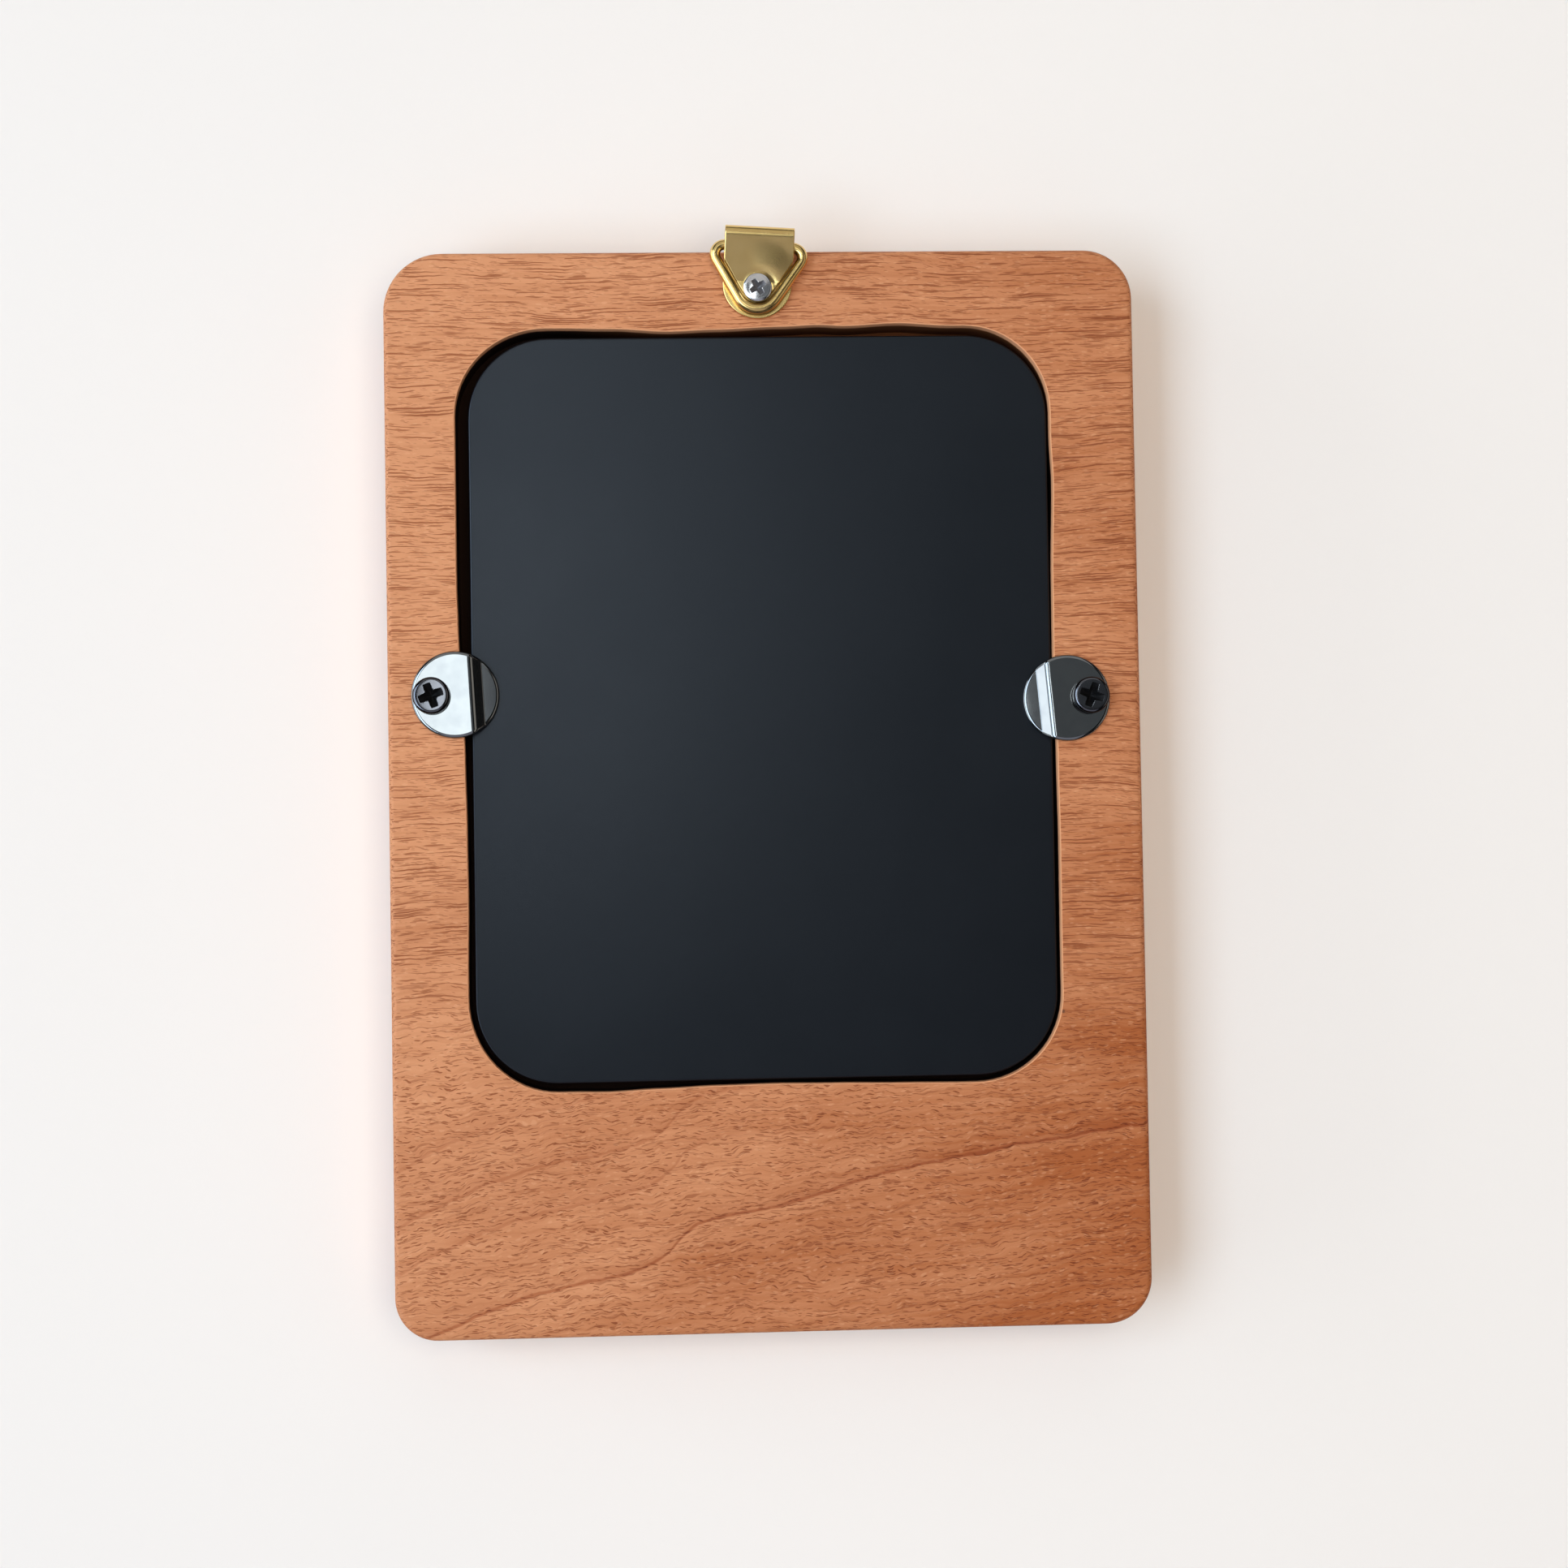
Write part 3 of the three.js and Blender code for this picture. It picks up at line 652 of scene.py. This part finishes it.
def print_look():
    """Plain sample print: soft bands of sky and sand with a white border."""
    look = Look("sample_print", {"Specular IOR Level": 0.4})
    across, up, _ = look.axes()
    cloud = look.noise(PRINT_CLOUD, 3.0)
    level = look.plus(up, look.times(cloud, PRINT_WAVE))
    bands = [look.mix(look.ramp(level, *span), *colours) for span, *colours in (PRINT_SAND, PRINT_SKY)]
    colour = look.mix(look.ramp(level, *PRINT_HORIZON), *bands)
    low, high = node_box("photo_print")
    outside = []
    for place, start, end in ((across, low.x, high.x), (up, low.y, high.y)):
        offset = look.math("ABSOLUTE", look.minus(place, (start + end) / 2))
        outside.append(look.math("GREATER_THAN", offset, (end - start) / 2 - PRINT_BORDER))
    colour = look.mix(look.most(outside), colour, PRINT_WHITE)
    return look.finish({"Base Color": colour, "Roughness": look.ramp(cloud, *NOISE_RANGE, *PRINT_ROUGHNESS)})


# Flat outlines with round corners.
def rectangle(low, high, radii):
    """Points and outward ways round a rectangle, anticlockwise from the lower left corner."""
    corners = (
        (low[0] + radii[0], low[1] + radii[0], 180),
        (high[0] - radii[1], low[1] + radii[1], 270),
        (high[0] - radii[2], high[1] - radii[2], 0),
        (low[0] + radii[3], high[1] - radii[3], 90),
    )
    arcs = []
    for (x, y, start), radius in zip(corners, radii):
        angles = [radians(start + 90 * step / CORNER_STEPS) for step in range(CORNER_STEPS + 1)]
        outward = [Vector((cos(angle), sin(angle))) for angle in angles]
        arcs.append([(Vector((x, y)) + way * radius, way) for way in outward])
    outline = []
    for arc, following in zip(arcs, arcs[1:] + arcs[:1]):
        outline += arc
        start, way = arc[-1]
        for step in range(1, SIDE_STEPS):
            outline.append((start.lerp(following[0][0], step / SIDE_STEPS), way))
    return outline


def smooth_share(value):
    """A share held between 0 and 1, with soft ends."""
    share = min(max(value, 0.0), 1.0)
    return share * share * (3 - 2 * share)


def smooth_through(knots, place):
    """Offset at a place on a smooth curve through knots, level beyond the first and last one."""
    if place <= knots[0][0]:
        return knots[0][1]
    for (start, low), (end, high) in zip(knots, knots[1:]):
        if place <= end:
            return low + (high - low) * smooth_share((place - start) / (end - start))
    return knots[-1][1]


def hand_cut(outline):
    """The outline with the small wanderings of a rebate that was cut by hand."""
    cut = []
    for point, way in outline:
        side = smooth_through(CUT_RIGHT if way.x > 0 else CUT_LEFT, point.y)
        end = smooth_through(CUT_TOP if way.y > 0 else CUT_BOTTOM, point.x)
        cut.append((point + Vector((way.x * side, way.y * end)), way))
    return cut


def ring(outline, grow, height):
    """The outline moved outwards, at a height."""
    return [(*(point + way * grow), height) for point, way in outline]


def between(first, second, steps):
    """Rings that lead from one ring to another, without either of them."""
    shares = [step / steps for step in range(1, steps)]
    return [[Vector(a).lerp(Vector(b), share) for a, b in zip(first, second)] for share in shares]


def rounding(radius, steps):
    """Places round a quarter edge: how far in from the side, and how far below the face."""
    angles = [pi / 2 * step / steps for step in range(steps + 1)]
    return [(radius * (1 - sin(angle)), radius * (1 - cos(angle))) for angle in angles]


def edge_rings(outline, radius, face, rise, grow):
    """Rings over a face's rounded edge, from the face on. They rise or fall, and grow or shrink."""
    places = rounding(radius, EDGE_STEPS)
    return [ring(outline, grow * inset, face + rise * below) for inset, below in places]


def closed_rings(rings):
    """Points and faces of rings that close on themselves both ways."""
    count = len(rings[0])
    faces = []
    for row in range(len(rings)):
        start, after = row * count, (row + 1) % len(rings) * count
        for column in range(count):
            beside = (column + 1) % count
            faces.append((start + column, start + beside, after + beside, after + column))
    return [point for ring_points in rings for point in ring_points], faces


# Board.
def make_board(look, cut_look):
    low, high = node_box("frame_body")
    sheet_low, sheet_high = node_box("backing_board")
    room, back = REBATE_ROOM, high.z
    outer = rectangle(low, high, BOARD_RADII)
    rebate_low = (sheet_low.x - room["left"], sheet_low.y - room["bottom"])
    rebate_high = (sheet_high.x + room["right"], sheet_high.y + room["top"])
    rebate = hand_cut(rectangle(rebate_low, rebate_high, REBATE_RADII))
    inset = Vector((OPENING_INSET, OPENING_INSET, 0))
    opening = rectangle(sheet_low + inset, sheet_high - inset, OPENING_RADII)

    rings = [ring(rebate, 0, LIP_THICKNESS), *reversed(edge_rings(rebate, REBATE_EDGE, back, -1, 1))]
    inner = ring(rebate, REBATE_EDGE + FACE_MARGIN, back)
    edge = ring(outer, -BOARD_EDGE - FACE_MARGIN, back)
    rings += [inner, *between(inner, edge, FACE_STEPS), edge]
    rings += edge_rings(outer, BOARD_EDGE, back, -1, -1)
    rings += reversed(edge_rings(outer, BOARD_EDGE, 0, 1, -1))
    edge = ring(outer, -BOARD_EDGE - FACE_MARGIN, 0)
    inner = ring(opening, OPENING_EDGE + FACE_MARGIN, 0)
    rings += [edge, *between(edge, inner, FACE_STEPS), inner]
    rings += edge_rings(opening, OPENING_EDGE, 0, 1, 1)
    rings.append(ring(opening, 0, LIP_THICKNESS))
    points, faces = closed_rings(rings)
    board = solid("wooden_board", points, faces, look)
    board.data.materials.append(cut_look)

    # The first faces are the rebate's wall and rim, and the last ones the lip's.
    count = len(rebate)
    for face in [*board.data.polygons[:count * (1 + EDGE_STEPS)], *board.data.polygons[-count:]]:
        face.material_index = 1
    stand_for(board, "frame_body", "frame")


# Backing board.
def make_panel(look):
    low, high = node_box("backing_board")
    outline = rectangle(low, high, PANEL_RADII)
    rings = [ring(outline, -PANEL_EDGE - FACE_MARGIN, high.z)]
    rings += edge_rings(outline, PANEL_EDGE, high.z, -1, -1)
    rings += reversed(edge_rings(outline, PANEL_EDGE, low.z, 1, -1))
    rings.append(ring(outline, -PANEL_EDGE - FACE_MARGIN, low.z))
    points, faces = closed_rings(rings)
    count = len(outline)
    sides = faces[:-count]
    top = tuple(range(count))
    bottom = tuple(reversed(range(len(points) - count, len(points))))
    panel = solid("black_panel", points, [top, *sides, bottom], look)
    stand_for(panel, "backing_board", "frame")


# Bent sheets: the middle line of the section, and a plate along it.
class BendPath:
    """Line of straight runs and bends in a section plane. A step is (length, angle, radius)."""

    def __init__(self, start, heading, steps):
        self.runs = []
        place = Vector(start)
        for length, angle, radius in steps:
            curve = 0.0 if angle == 0 else copysign(1 / radius, angle)
            length = abs(angle) * radius if angle else length
            self.runs.append((length, place, heading, curve))
            place, heading = self.along(length, place, heading, curve)
        self.end = place
        self.length = sum(run[0] for run in self.runs)

    @staticmethod
    def along(distance, place, heading, curve):
        if curve == 0:
            return place + Vector((cos(heading), sin(heading))) * distance, heading
        turned = heading + curve * distance
        step = Vector((sin(turned) - sin(heading), cos(heading) - cos(turned)))
        return place + step / curve, turned

    def at(self, distance):
        """Place and heading at a distance along the line."""
        for length, place, heading, curve in self.runs:
            if distance <= length:
                break
            distance -= length
        else:
            distance += length
        return self.along(distance, place, heading, curve)


def straight(length):
    return length, 0.0, 0.0


def bend(angle, radius):
    return 0.0, angle, radius


def bent_sheet(path, half_width, thickness, edge, inner_share=None):
    """Points and faces of a sheet bent along a path. Its edge is rounded (in from the rim, down).

    Its half on the inside of a left bend may be thinned to a share along the path.
    """
    count = SHEET_STATIONS
    stations = [path.length * (1 - cos(pi * index / count)) / 2 for index in range(count + 1)]
    widths = [half_width(station) for station in stations]
    widths[0] = widths[-1] = 0.0
    outline = []
    for index in range(count + 1):
        before, after = max(index - 1, 0), min(index + 1, count)
        run, rise = stations[after] - stations[before], widths[after] - widths[before]
        way = Vector((-rise, run)).normalized()
        if index in (0, count):
            way = Vector((-1.0 if index == 0 else 1.0, 0.0))
        outline.append((Vector((stations[index], widths[index])), way))

    def lift(along, aside, height):
        """Point of the bent sheet, from its place on the flat one."""
        place, heading = path.at(along)
        if inner_share and height > 0:
            height *= inner_share(along)
        return (place.x - sin(heading) * height, aside, place.y + cos(heading) * height)

    points, faces = [], []

    def face_rows(height, flip):
        """Rows of points across one face. The first and last row are single points."""
        rows = []
        for point, way in outline:
            inner = point - way * edge[0]
            columns = 0 if inner.y < TINY else SHEET_COLUMNS
            row = []
            for column in range(columns + 1):
                share = 2 * column / columns - 1 if columns else 0.0
                row.append(len(points))
                points.append(lift(inner.x, inner.y * share, height))
            rows.append(row)
        for row, after in zip(rows, rows[1:]):
            for column in range(SHEET_COLUMNS):
                corners = [row[min(column, len(row) - 1)], row[min(column + 1, len(row) - 1)]]
                corners += [after[min(column + 1, len(after) - 1)], after[min(column, len(after) - 1)]]
                corners = list(dict.fromkeys(corners))
                faces.append(tuple(corners if flip else reversed(corners)))
        return [row[-1] for row in rows] + [row[0] for row in reversed(rows[1:-1])]

    half = thickness / 2
    top_rim = face_rows(half, True)
    bottom_rim = face_rows(-half, False)
    loop = list(outline)
    loop += [(Vector((p.x, -p.y)), Vector((w.x, -w.y))) for p, w in reversed(outline[1:-1])]
    stretch = edge[0] / edge[1]
    levels = [(inward * stretch, half - below) for inward, below in rounding(edge[1], SHEET_EDGE_STEPS)][1:]
    levels += [(inward, -height) for inward, height in reversed(levels)]
    rims = [top_rim]
    for inward, height in levels:
        rim = []
        for point, way in loop:
            place = point - way * inward
            rim.append(len(points))
            points.append(lift(place.x, place.y, height))
        rims.append(rim)
    rims.append(bottom_rim)
    for upper, lower in zip(rims, rims[1:]):
        for index in range(len(loop)):
            beside = (index + 1) % len(loop)
            faces.append((upper[index], upper[beside], lower[beside], lower[index]))
    return points, faces


# Turn buttons.
def make_button(side, look):
    """Round plate with a step, whose tongue presses on the panel."""
    joint = f"{side}_button_turn"
    node = f"turn_button_{side}"
    centre, _ = joint_place(joint)
    radius = PLATE_DIAMETER / 2
    half = PLATE_THICKNESS / 2
    start = (PLATE_OFFSET - radius, half)
    down = radians(STEP_ANGLE)
    root, tip = [radians(angle) for angle in TONGUE_CURL]

    def bent(slope):
        """Path of the plate with a given length of slope."""
        steps = [
            straight(STEP_START - start[0]),
            bend(-down, STEP_BENDS[0]),
            straight(slope),
            bend(down + root, STEP_BENDS[1]),
        ]
        run = PLATE_OFFSET + radius - BendPath(start, 0.0, steps).end.x
        curl = run / (sin(root) - sin(tip))
        return BendPath(start, 0.0, [*steps, bend(tip - root, curl)])

    # Halving finds the slope with which the tip lies as deep as it should.
    low, high = 0.0, STEP_DROP / sin(down)
    for _ in range(SLOPE_TRIES):
        slope = (low + high) / 2
        if half - bent(slope).end.y < STEP_DROP:
            low = slope
        else:
            high = slope
    path = bent(slope)

    def half_width(distance):
        return sqrt(max(radius ** 2 - (path.at(distance)[0].x - PLATE_OFFSET) ** 2, 0.0))

    points, faces = bent_sheet(path, half_width, PLATE_THICKNESS, PLATE_EDGE)
    place = Matrix.Translation(centre) @ Matrix.Rotation(radians(BUTTON_TURNS[side]), 4, "Z")
    button = solid(f"button_plate_{side}", [place @ Vector(point) for point in points], faces, look)
    stand_for(button, node, f"{side}_button")
    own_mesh(button)


# Cross-recess screws.
def lathe(profile, segments):
    """Points and faces of a profile turned round the Z axis, from its top point to its bottom."""
    points = [(0, 0, profile[0][1])]
    faces = []
    for radius, height in profile[1:-1]:
        for segment in range(segments):
            angle = 2 * pi * segment / segments
            points.append((radius * cos(angle), radius * sin(angle), height))
    points.append((0, 0, profile[-1][1]))
    last = len(points) - 1
    rows = len(profile) - 2
    for segment in range(segments):
        beside = (segment + 1) % segments
        faces.append((0, 1 + segment, 1 + beside))
        for row in range(rows - 1):
            upper, lower = 1 + row * segments, 1 + (row + 1) * segments
            faces.append((upper + segment, lower + segment, lower + beside, upper + beside))
        bottom = 1 + (rows - 1) * segments
        faces.append((bottom + segment, last, bottom + beside))
    return points, faces


def screw_profile(size):
    """Half section of a pan head with a slightly domed top and a round shoulder."""
    radius, height = size["head"] / 2, size["height"]
    shoulder = height * SHOULDER_SHARE
    crown = size["crown"]
    flat = radius - shoulder
    profile = [(0.0, height)]
    for step in range(1, CROWN_STEPS + 1):
        share = step / CROWN_STEPS
        profile.append((flat * share, height - crown * share ** 2))
    for step in range(1, SHOULDER_STEPS + 1):
        angle = pi / 2 * step / SHOULDER_STEPS
        drop = crown + (shoulder - crown) * (1 - cos(angle))
        profile.append((flat + shoulder * sin(angle), height - drop))
    profile += [(radius, HEAD_FOOT), (radius - HEAD_FOOT, 0.0), (0.0, 0.0)]
    return profile


def thread_solid(size):
    """Points and faces of a threaded shank that ends in a point."""
    radius, length = size["thread"] / 2, size["length"]
    pitch = size["thread"] * THREAD_PITCH
    rows = ceil(length / pitch * THREAD_ROWS)
    segments = SCREW_SEGMENTS // 2
    profile = [(1.0, -length * row / rows) for row in range(rows + 1)]
    points, faces = lathe([(0, 0), *profile, (0, -length)], segments)
    shaped = []
    for x, y, z in points:
        phase = (z / pitch - atan2(y, x) / (2 * pi)) % 1.0
        thread = radius - size["thread"] * THREAD_DEPTH * abs(2 * phase - 1)
        fade = min((z + length) / (size["thread"] * POINT_LENGTH) + POINT_TIP, 1.0)
        shaped.append((x * thread * fade, y * thread * fade, z))
    return shaped, faces


def recess_solid(size):
    """Points and faces of the tapered cross that a driver fits."""
    reach, arm, depth = size["span"] / 2, size["arm"] / 2, size["depth"]
    corner = arm * RECESS_CORNER
    quarter = [(reach, -arm), (reach, arm), (corner, corner)]
    ends = ((depth * RECESS_RISE, 1 + RECESS_RISE * (1 - RECESS_TAPER)), (-depth, RECESS_TAPER))
    points = []
    for height, scale in ends:
        for turn in range(4):
            cosine, sine = cos(turn * pi / 2), sin(turn * pi / 2)
            for x, y in quarter:
                points.append(((x * cosine - y * sine) * scale, (x * sine + y * cosine) * scale, height))
    count = len(points) // 2
    points.append((0, 0, -depth * RECESS_POINT))
    faces = [tuple(range(count))]
    for index in range(count):
        beside = (index + 1) % count
        faces.append((index, index + count, beside + count, beside))
        faces.append((index + count, 2 * count, beside + count))
    return points, faces


def apply_modifiers(piece):
    """Bakes a piece's modifiers into its mesh."""
    shown = piece.evaluated_get(bpy.context.evaluated_depsgraph_get())
    mesh = bpy.data.meshes.new_from_object(shown)
    piece.modifiers.clear()
    piece.data = mesh


def make_screw(node, size, look, inside):
    """Pan-head screw: a head with a cross cut into it, and a threaded shank."""
    low, high = node_box(node)
    middle = (low + high) / 2
    seat = Vector((middle.x, middle.y, low.z + size["length"]))
    place = Matrix.Translation(seat) @ Matrix.Rotation(radians(SCREW_TURNS[node]), 4, "Z")

    def placed(points, lift=0.0):
        return [place @ (Vector(point) + Vector((0, 0, lift))) for point in points]

    head_points, head_faces = lathe(screw_profile(size), SCREW_SEGMENTS)
    head = solid(node + "_look", placed(head_points), head_faces, look)
    cut_points, cut_faces = recess_solid(size)
    cutter = solid(node + "_cut", placed(cut_points, size["height"]), cut_faces, inside)
    cut = head.modifiers.new("recess", "BOOLEAN")
    cut.material_mode = "TRANSFER"
    cut.object = cutter
    cut.operation = "DIFFERENCE"
    cut.solver = "EXACT"
    soften = head.modifiers.new("soften", "BEVEL")
    soften.width = RECESS_EDGE * MM
    soften.segments = RECESS_EDGE_STEPS
    soften.limit_method = "ANGLE"
    soften.angle_limit = radians(RECESS_EDGE_ANGLE)
    apply_modifiers(head)
    bpy.data.objects.remove(cutter)
    head.data.shade_smooth()
    head.data.set_sharp_from_angle(angle=radians(HEAD_SHARP_ANGLE))
    stand_for(head, node, "frame")

    shank_points, shank_faces = thread_solid(size)
    shank = solid(node + "_thread", placed(shank_points), shank_faces, look)
    shank.parent = head


# Hanger.
def hanger_place():
    """Place and turn on the board that strap and ring share."""
    low, high = node_box("hanger_screw")
    _, axis = joint_place("ring_swing")
    strap_low, _ = node_box("hanger_strap")
    screw = (low + high) / 2
    turn = atan2(-axis.y, -axis.x)
    return Matrix.Translation((screw.x, screw.y, strap_low.z)) @ Matrix.Rotation(turn, 4, "Z")


def leg_angles():
    """Slope of the ring's legs, and the direction square to the right leg."""
    corner_x = RING_WIDTH / 2 - WIRE_RADIUS - RING_CORNER
    rise = BAR_REACH - RING_CORNER - RING_APEX_Y
    slope = asin((RING_APEX_RADIUS - RING_CORNER) / hypot(corner_x, rise)) + atan2(rise, corner_x)
    return slope, slope - pi / 2


def curled(point):
    """A point of the strap, whose upper layer curls up beside the screw that pulls it down."""
    x, y, z = point
    radius = hypot(x, y)
    start, top, end = CURL_RADII
    if z > STRAP_THICKNESS + STRAP_GAP / 2 and start < radius < end:
        share = (radius - start) / (top - start) if radius < top else (end - radius) / (end - top)
        way = (x * CURL_WAY[0] + y * CURL_WAY[1]) / radius
        z += CURL_HEIGHT * smooth_share(share) * smooth_share(way)
    return Vector((x, y, z))


def make_strap(look):
    """Strip folded over the ring's bar, the upper layer sloping down to a tongue."""
    half = STRAP_THICKNESS / 2
    fold_y = BAR_REACH + FOLD_SLACK
    fold_line = FOLD_RADIUS + half
    flat = fold_line - FOLD_BEND
    run = fold_y + flat - SLOPE_END
    rise = STRAP_THICKNESS + STRAP_GAP + STRAP_BEND - fold_line - flat
    span = hypot(run, rise)
    radii = FOLD_BEND + STRAP_BEND
    slope = sqrt(span ** 2 - radii ** 2)
    angle = asin(radii / span) - atan2(rise, run)
    tip = RING_APEX_Y - TONGUE_RADIUS
    lower_length = fold_y + flat + STRAP_REACH
    path = BendPath((-STRAP_REACH, half), 0.0, [
        straight(lower_length),
        bend(pi / 2, FOLD_BEND),
        straight(2 * flat),
        bend(pi / 2 + angle, FOLD_BEND),
        straight(slope),
        bend(-angle, STRAP_BEND),
        straight(SLOPE_END - tip),
    ])
    wide = STRAP_WIDTH / 2
    leg_slope, leg_normal = leg_angles()
    tangent_x = TONGUE_RADIUS * cos(leg_normal)
    tangent_y = RING_APEX_Y + TONGUE_RADIUS * sin(leg_normal)

    def half_width(distance):
        y = path.at(distance)[0].x
        if distance < lower_length:
            short = max(wide - STRAP_REACH - y, 0.0)
            return sqrt(max(wide ** 2 - short ** 2, 0.0))
        if y > tangent_y:
            return min(wide, tangent_x + (y - tangent_y) / tan(leg_slope))
        return sqrt(max(TONGUE_RADIUS ** 2 - (y - RING_APEX_Y) ** 2, 0.0))

    def inner_share(distance):
        """The strip is thinner where it is stretched round the ring's bar."""
        start, end = FOLD_THINNING[0 if distance < lower_length else 1]
        reach = smooth_share((path.at(distance)[0].x - start) / (end - start))
        return 1 + (FOLD_INNER_SHARE - 1) * reach

    points, faces = bent_sheet(path, half_width, STRAP_THICKNESS, STRAP_EDGE, inner_share)
    place = hanger_place() @ Matrix.Rotation(pi / 2, 4, "Z")
    strap = solid("strap", [place @ curled(point) for point in points], faces, look)
    stand_for(strap, "hanger_strap", "frame")


def ring_line():
    """Middle line of the wire, from one end at the middle of the bar round to the other."""
    corner_x = RING_WIDTH / 2 - WIRE_RADIUS - RING_CORNER
    corner_y = BAR_REACH - RING_CORNER
    _, normal = leg_angles()
    arcs = (
        (corner_x, corner_y, RING_CORNER, pi / 2, normal),
        (0.0, RING_APEX_Y, RING_APEX_RADIUS, normal, -pi - normal),
        (-corner_x, corner_y, RING_CORNER, pi - normal, pi / 2),
    )
    corners = [Vector((RING_BUTT_GAP / 2, BAR_REACH))]
    for x, y, radius, start, end in arcs:
        steps = ceil(abs(end - start) * radius / RING_STEP)
        for step in range(steps + 1):
            angle = start + (end - start) * step / steps
            corners.append(Vector((x + radius * cos(angle), y + radius * sin(angle))))
    corners.append(Vector((-RING_BUTT_GAP / 2, BAR_REACH)))
    line = [corners[0]]
    for corner in corners[1:]:
        steps = max(ceil((corner - line[-1]).length / RING_STEP), 1)
        start = line[-1]
        line += [start.lerp(corner, step / steps) for step in range(1, steps + 1)]
    return line


def make_ring(look):
    line = ring_line()
    points, faces = [], []
    for index, point in enumerate(line):
        way = (line[min(index + 1, len(line) - 1)] - line[max(index - 1, 0)]).normalized()
        aside = Vector((-way.y, way.x))
        for side in range(WIRE_SIDES):
            angle = 2 * pi * side / WIRE_SIDES
            place = point + aside * WIRE_RADIUS * cos(angle)
            points.append((*place, WIRE_RADIUS * sin(angle)))
    for row in range(len(line) - 1):
        for side in range(WIRE_SIDES):
            beside = (side + 1) % WIRE_SIDES
            start, after = row * WIRE_SIDES, (row + 1) * WIRE_SIDES
            faces.append((start + side, after + side, after + beside, start + beside))
    faces.append(tuple(range(WIRE_SIDES)))
    faces.append(tuple(reversed(range(len(points) - WIRE_SIDES, len(points)))))
    bar, _ = joint_place("ring_swing")
    place = hanger_place()
    place.translation.z = bar.z
    wire = solid("wire_ring", [place @ Vector(point) for point in points], faces, look)
    stand_for(wire, "hanger_ring", "ring")


# Stage: camera, floor and light.
def make_camera():
    camera = new_object("camera", bpy.data.cameras.new("camera"))
    camera.location = Vector(CAMERA_PLACE) * MM
    camera.rotation_euler = Euler([radians(angle) for angle in CAMERA_TURN], "XYZ")
    camera.data.lens = CAMERA_LENS
    camera.data.clip_start = CAMERA_NEAR
    scene.camera = camera


def make_floor():
    """Pale floor. Far from the frame it keeps its colour, so that it runs on into the background."""
    look = Look("floor", {"Roughness": 0.9, "Specular IOR Level": 0.1, "Emission Color": BACKGROUND})
    colour = look.mix(look.noise(FLOOR_CLOUD), *FLOOR_COLOURS)
    seen = look.most(look.rays())
    far = look.times(seen, look.ramp(look.length(look.place), *FLOOR_FADE))
    material = look.finish({"Base Color": look.mix(far, colour, BLACK), "Emission Strength": far})
    reach = FLOOR_REACH
    corners = [(-reach, -reach, 0), (reach, -reach, 0), (reach, reach, 0), (-reach, reach, 0)]
    floor = solid("floor", corners, [(0, 1, 2, 3)], material)
    floor.location.z = -FLOOR_GAP * MM


def make_world():
    """Nearly dark world, pale to the camera and, close above the horizon, to mirrored rays."""
    world = bpy.data.worlds.new("studio")
    world.use_nodes = True
    scene.world = world
    nodes = Nodes(world.node_tree)
    direction = nodes.add("SeparateXYZ", {0: nodes.add("TexCoord").outputs["Generated"]})
    start, end = LOW_SKY
    fade = {"Value": direction.outputs["Z"], "From Min": start, "From Max": end, "To Min": 1.0, "To Max": 0.0}
    low_sky = nodes.add("MapRange", fade).outputs[0]
    camera, mirrored = nodes.rays()
    strength = nodes.most([camera, nodes.times(mirrored, low_sky), WORLD_GLOW])
    nodes.feed(nodes.tree.nodes["Background"], {"Color": BACKGROUND, "Strength": strength})


def make_lamps():
    for name, place, aim, size, power, colour in LAMPS:
        lamp = bpy.data.lights.new(name, "AREA")
        lamp.shape = "RECTANGLE"
        lamp.size, lamp.size_y = size
        lamp.energy = power
        lamp.color = colour
        softbox = new_object(name, lamp)
        softbox.location = place
        softbox.rotation_euler = (Vector(aim) - Vector(place)).to_track_quat("-Z", "Y").to_euler()
        softbox.visible_glossy = name not in UNMIRRORED_LAMPS


scene.view_settings.view_transform = "Standard"
make_camera()
make_floor()
make_world()
make_lamps()

black_nickel = metal_look("black_nickel")
button_screw_top = node_box("turn_button_screw_left")[1].z
black_steel = metal_look("black_steel", button_screw_top - SHADED_SIDE_DEPTH)
brass = metal_look("brass")
bright_steel = metal_look("bright_steel")
black_shaded_recess = recess_look("black_shaded_recess")
grey_shaded_recess = recess_look("grey_shaded_recess")

make_board(wood_look(), cut_wood_look())
make_panel(panel_look())
for side in ("left", "right"):
    make_button(side, black_nickel)
    make_screw(f"turn_button_screw_{side}", BUTTON_SCREW, black_steel, black_shaded_recess)
make_strap(brass)
make_ring(brass)
make_screw("hanger_screw", HANGER_SCREW, bright_steel, grey_shaded_recess)
for node, look in (("glazing", acrylic_look()), ("photo_print", print_look())):
    frame["nodes"][node].data.materials.clear()
    frame["nodes"][node].data.materials.append(look)
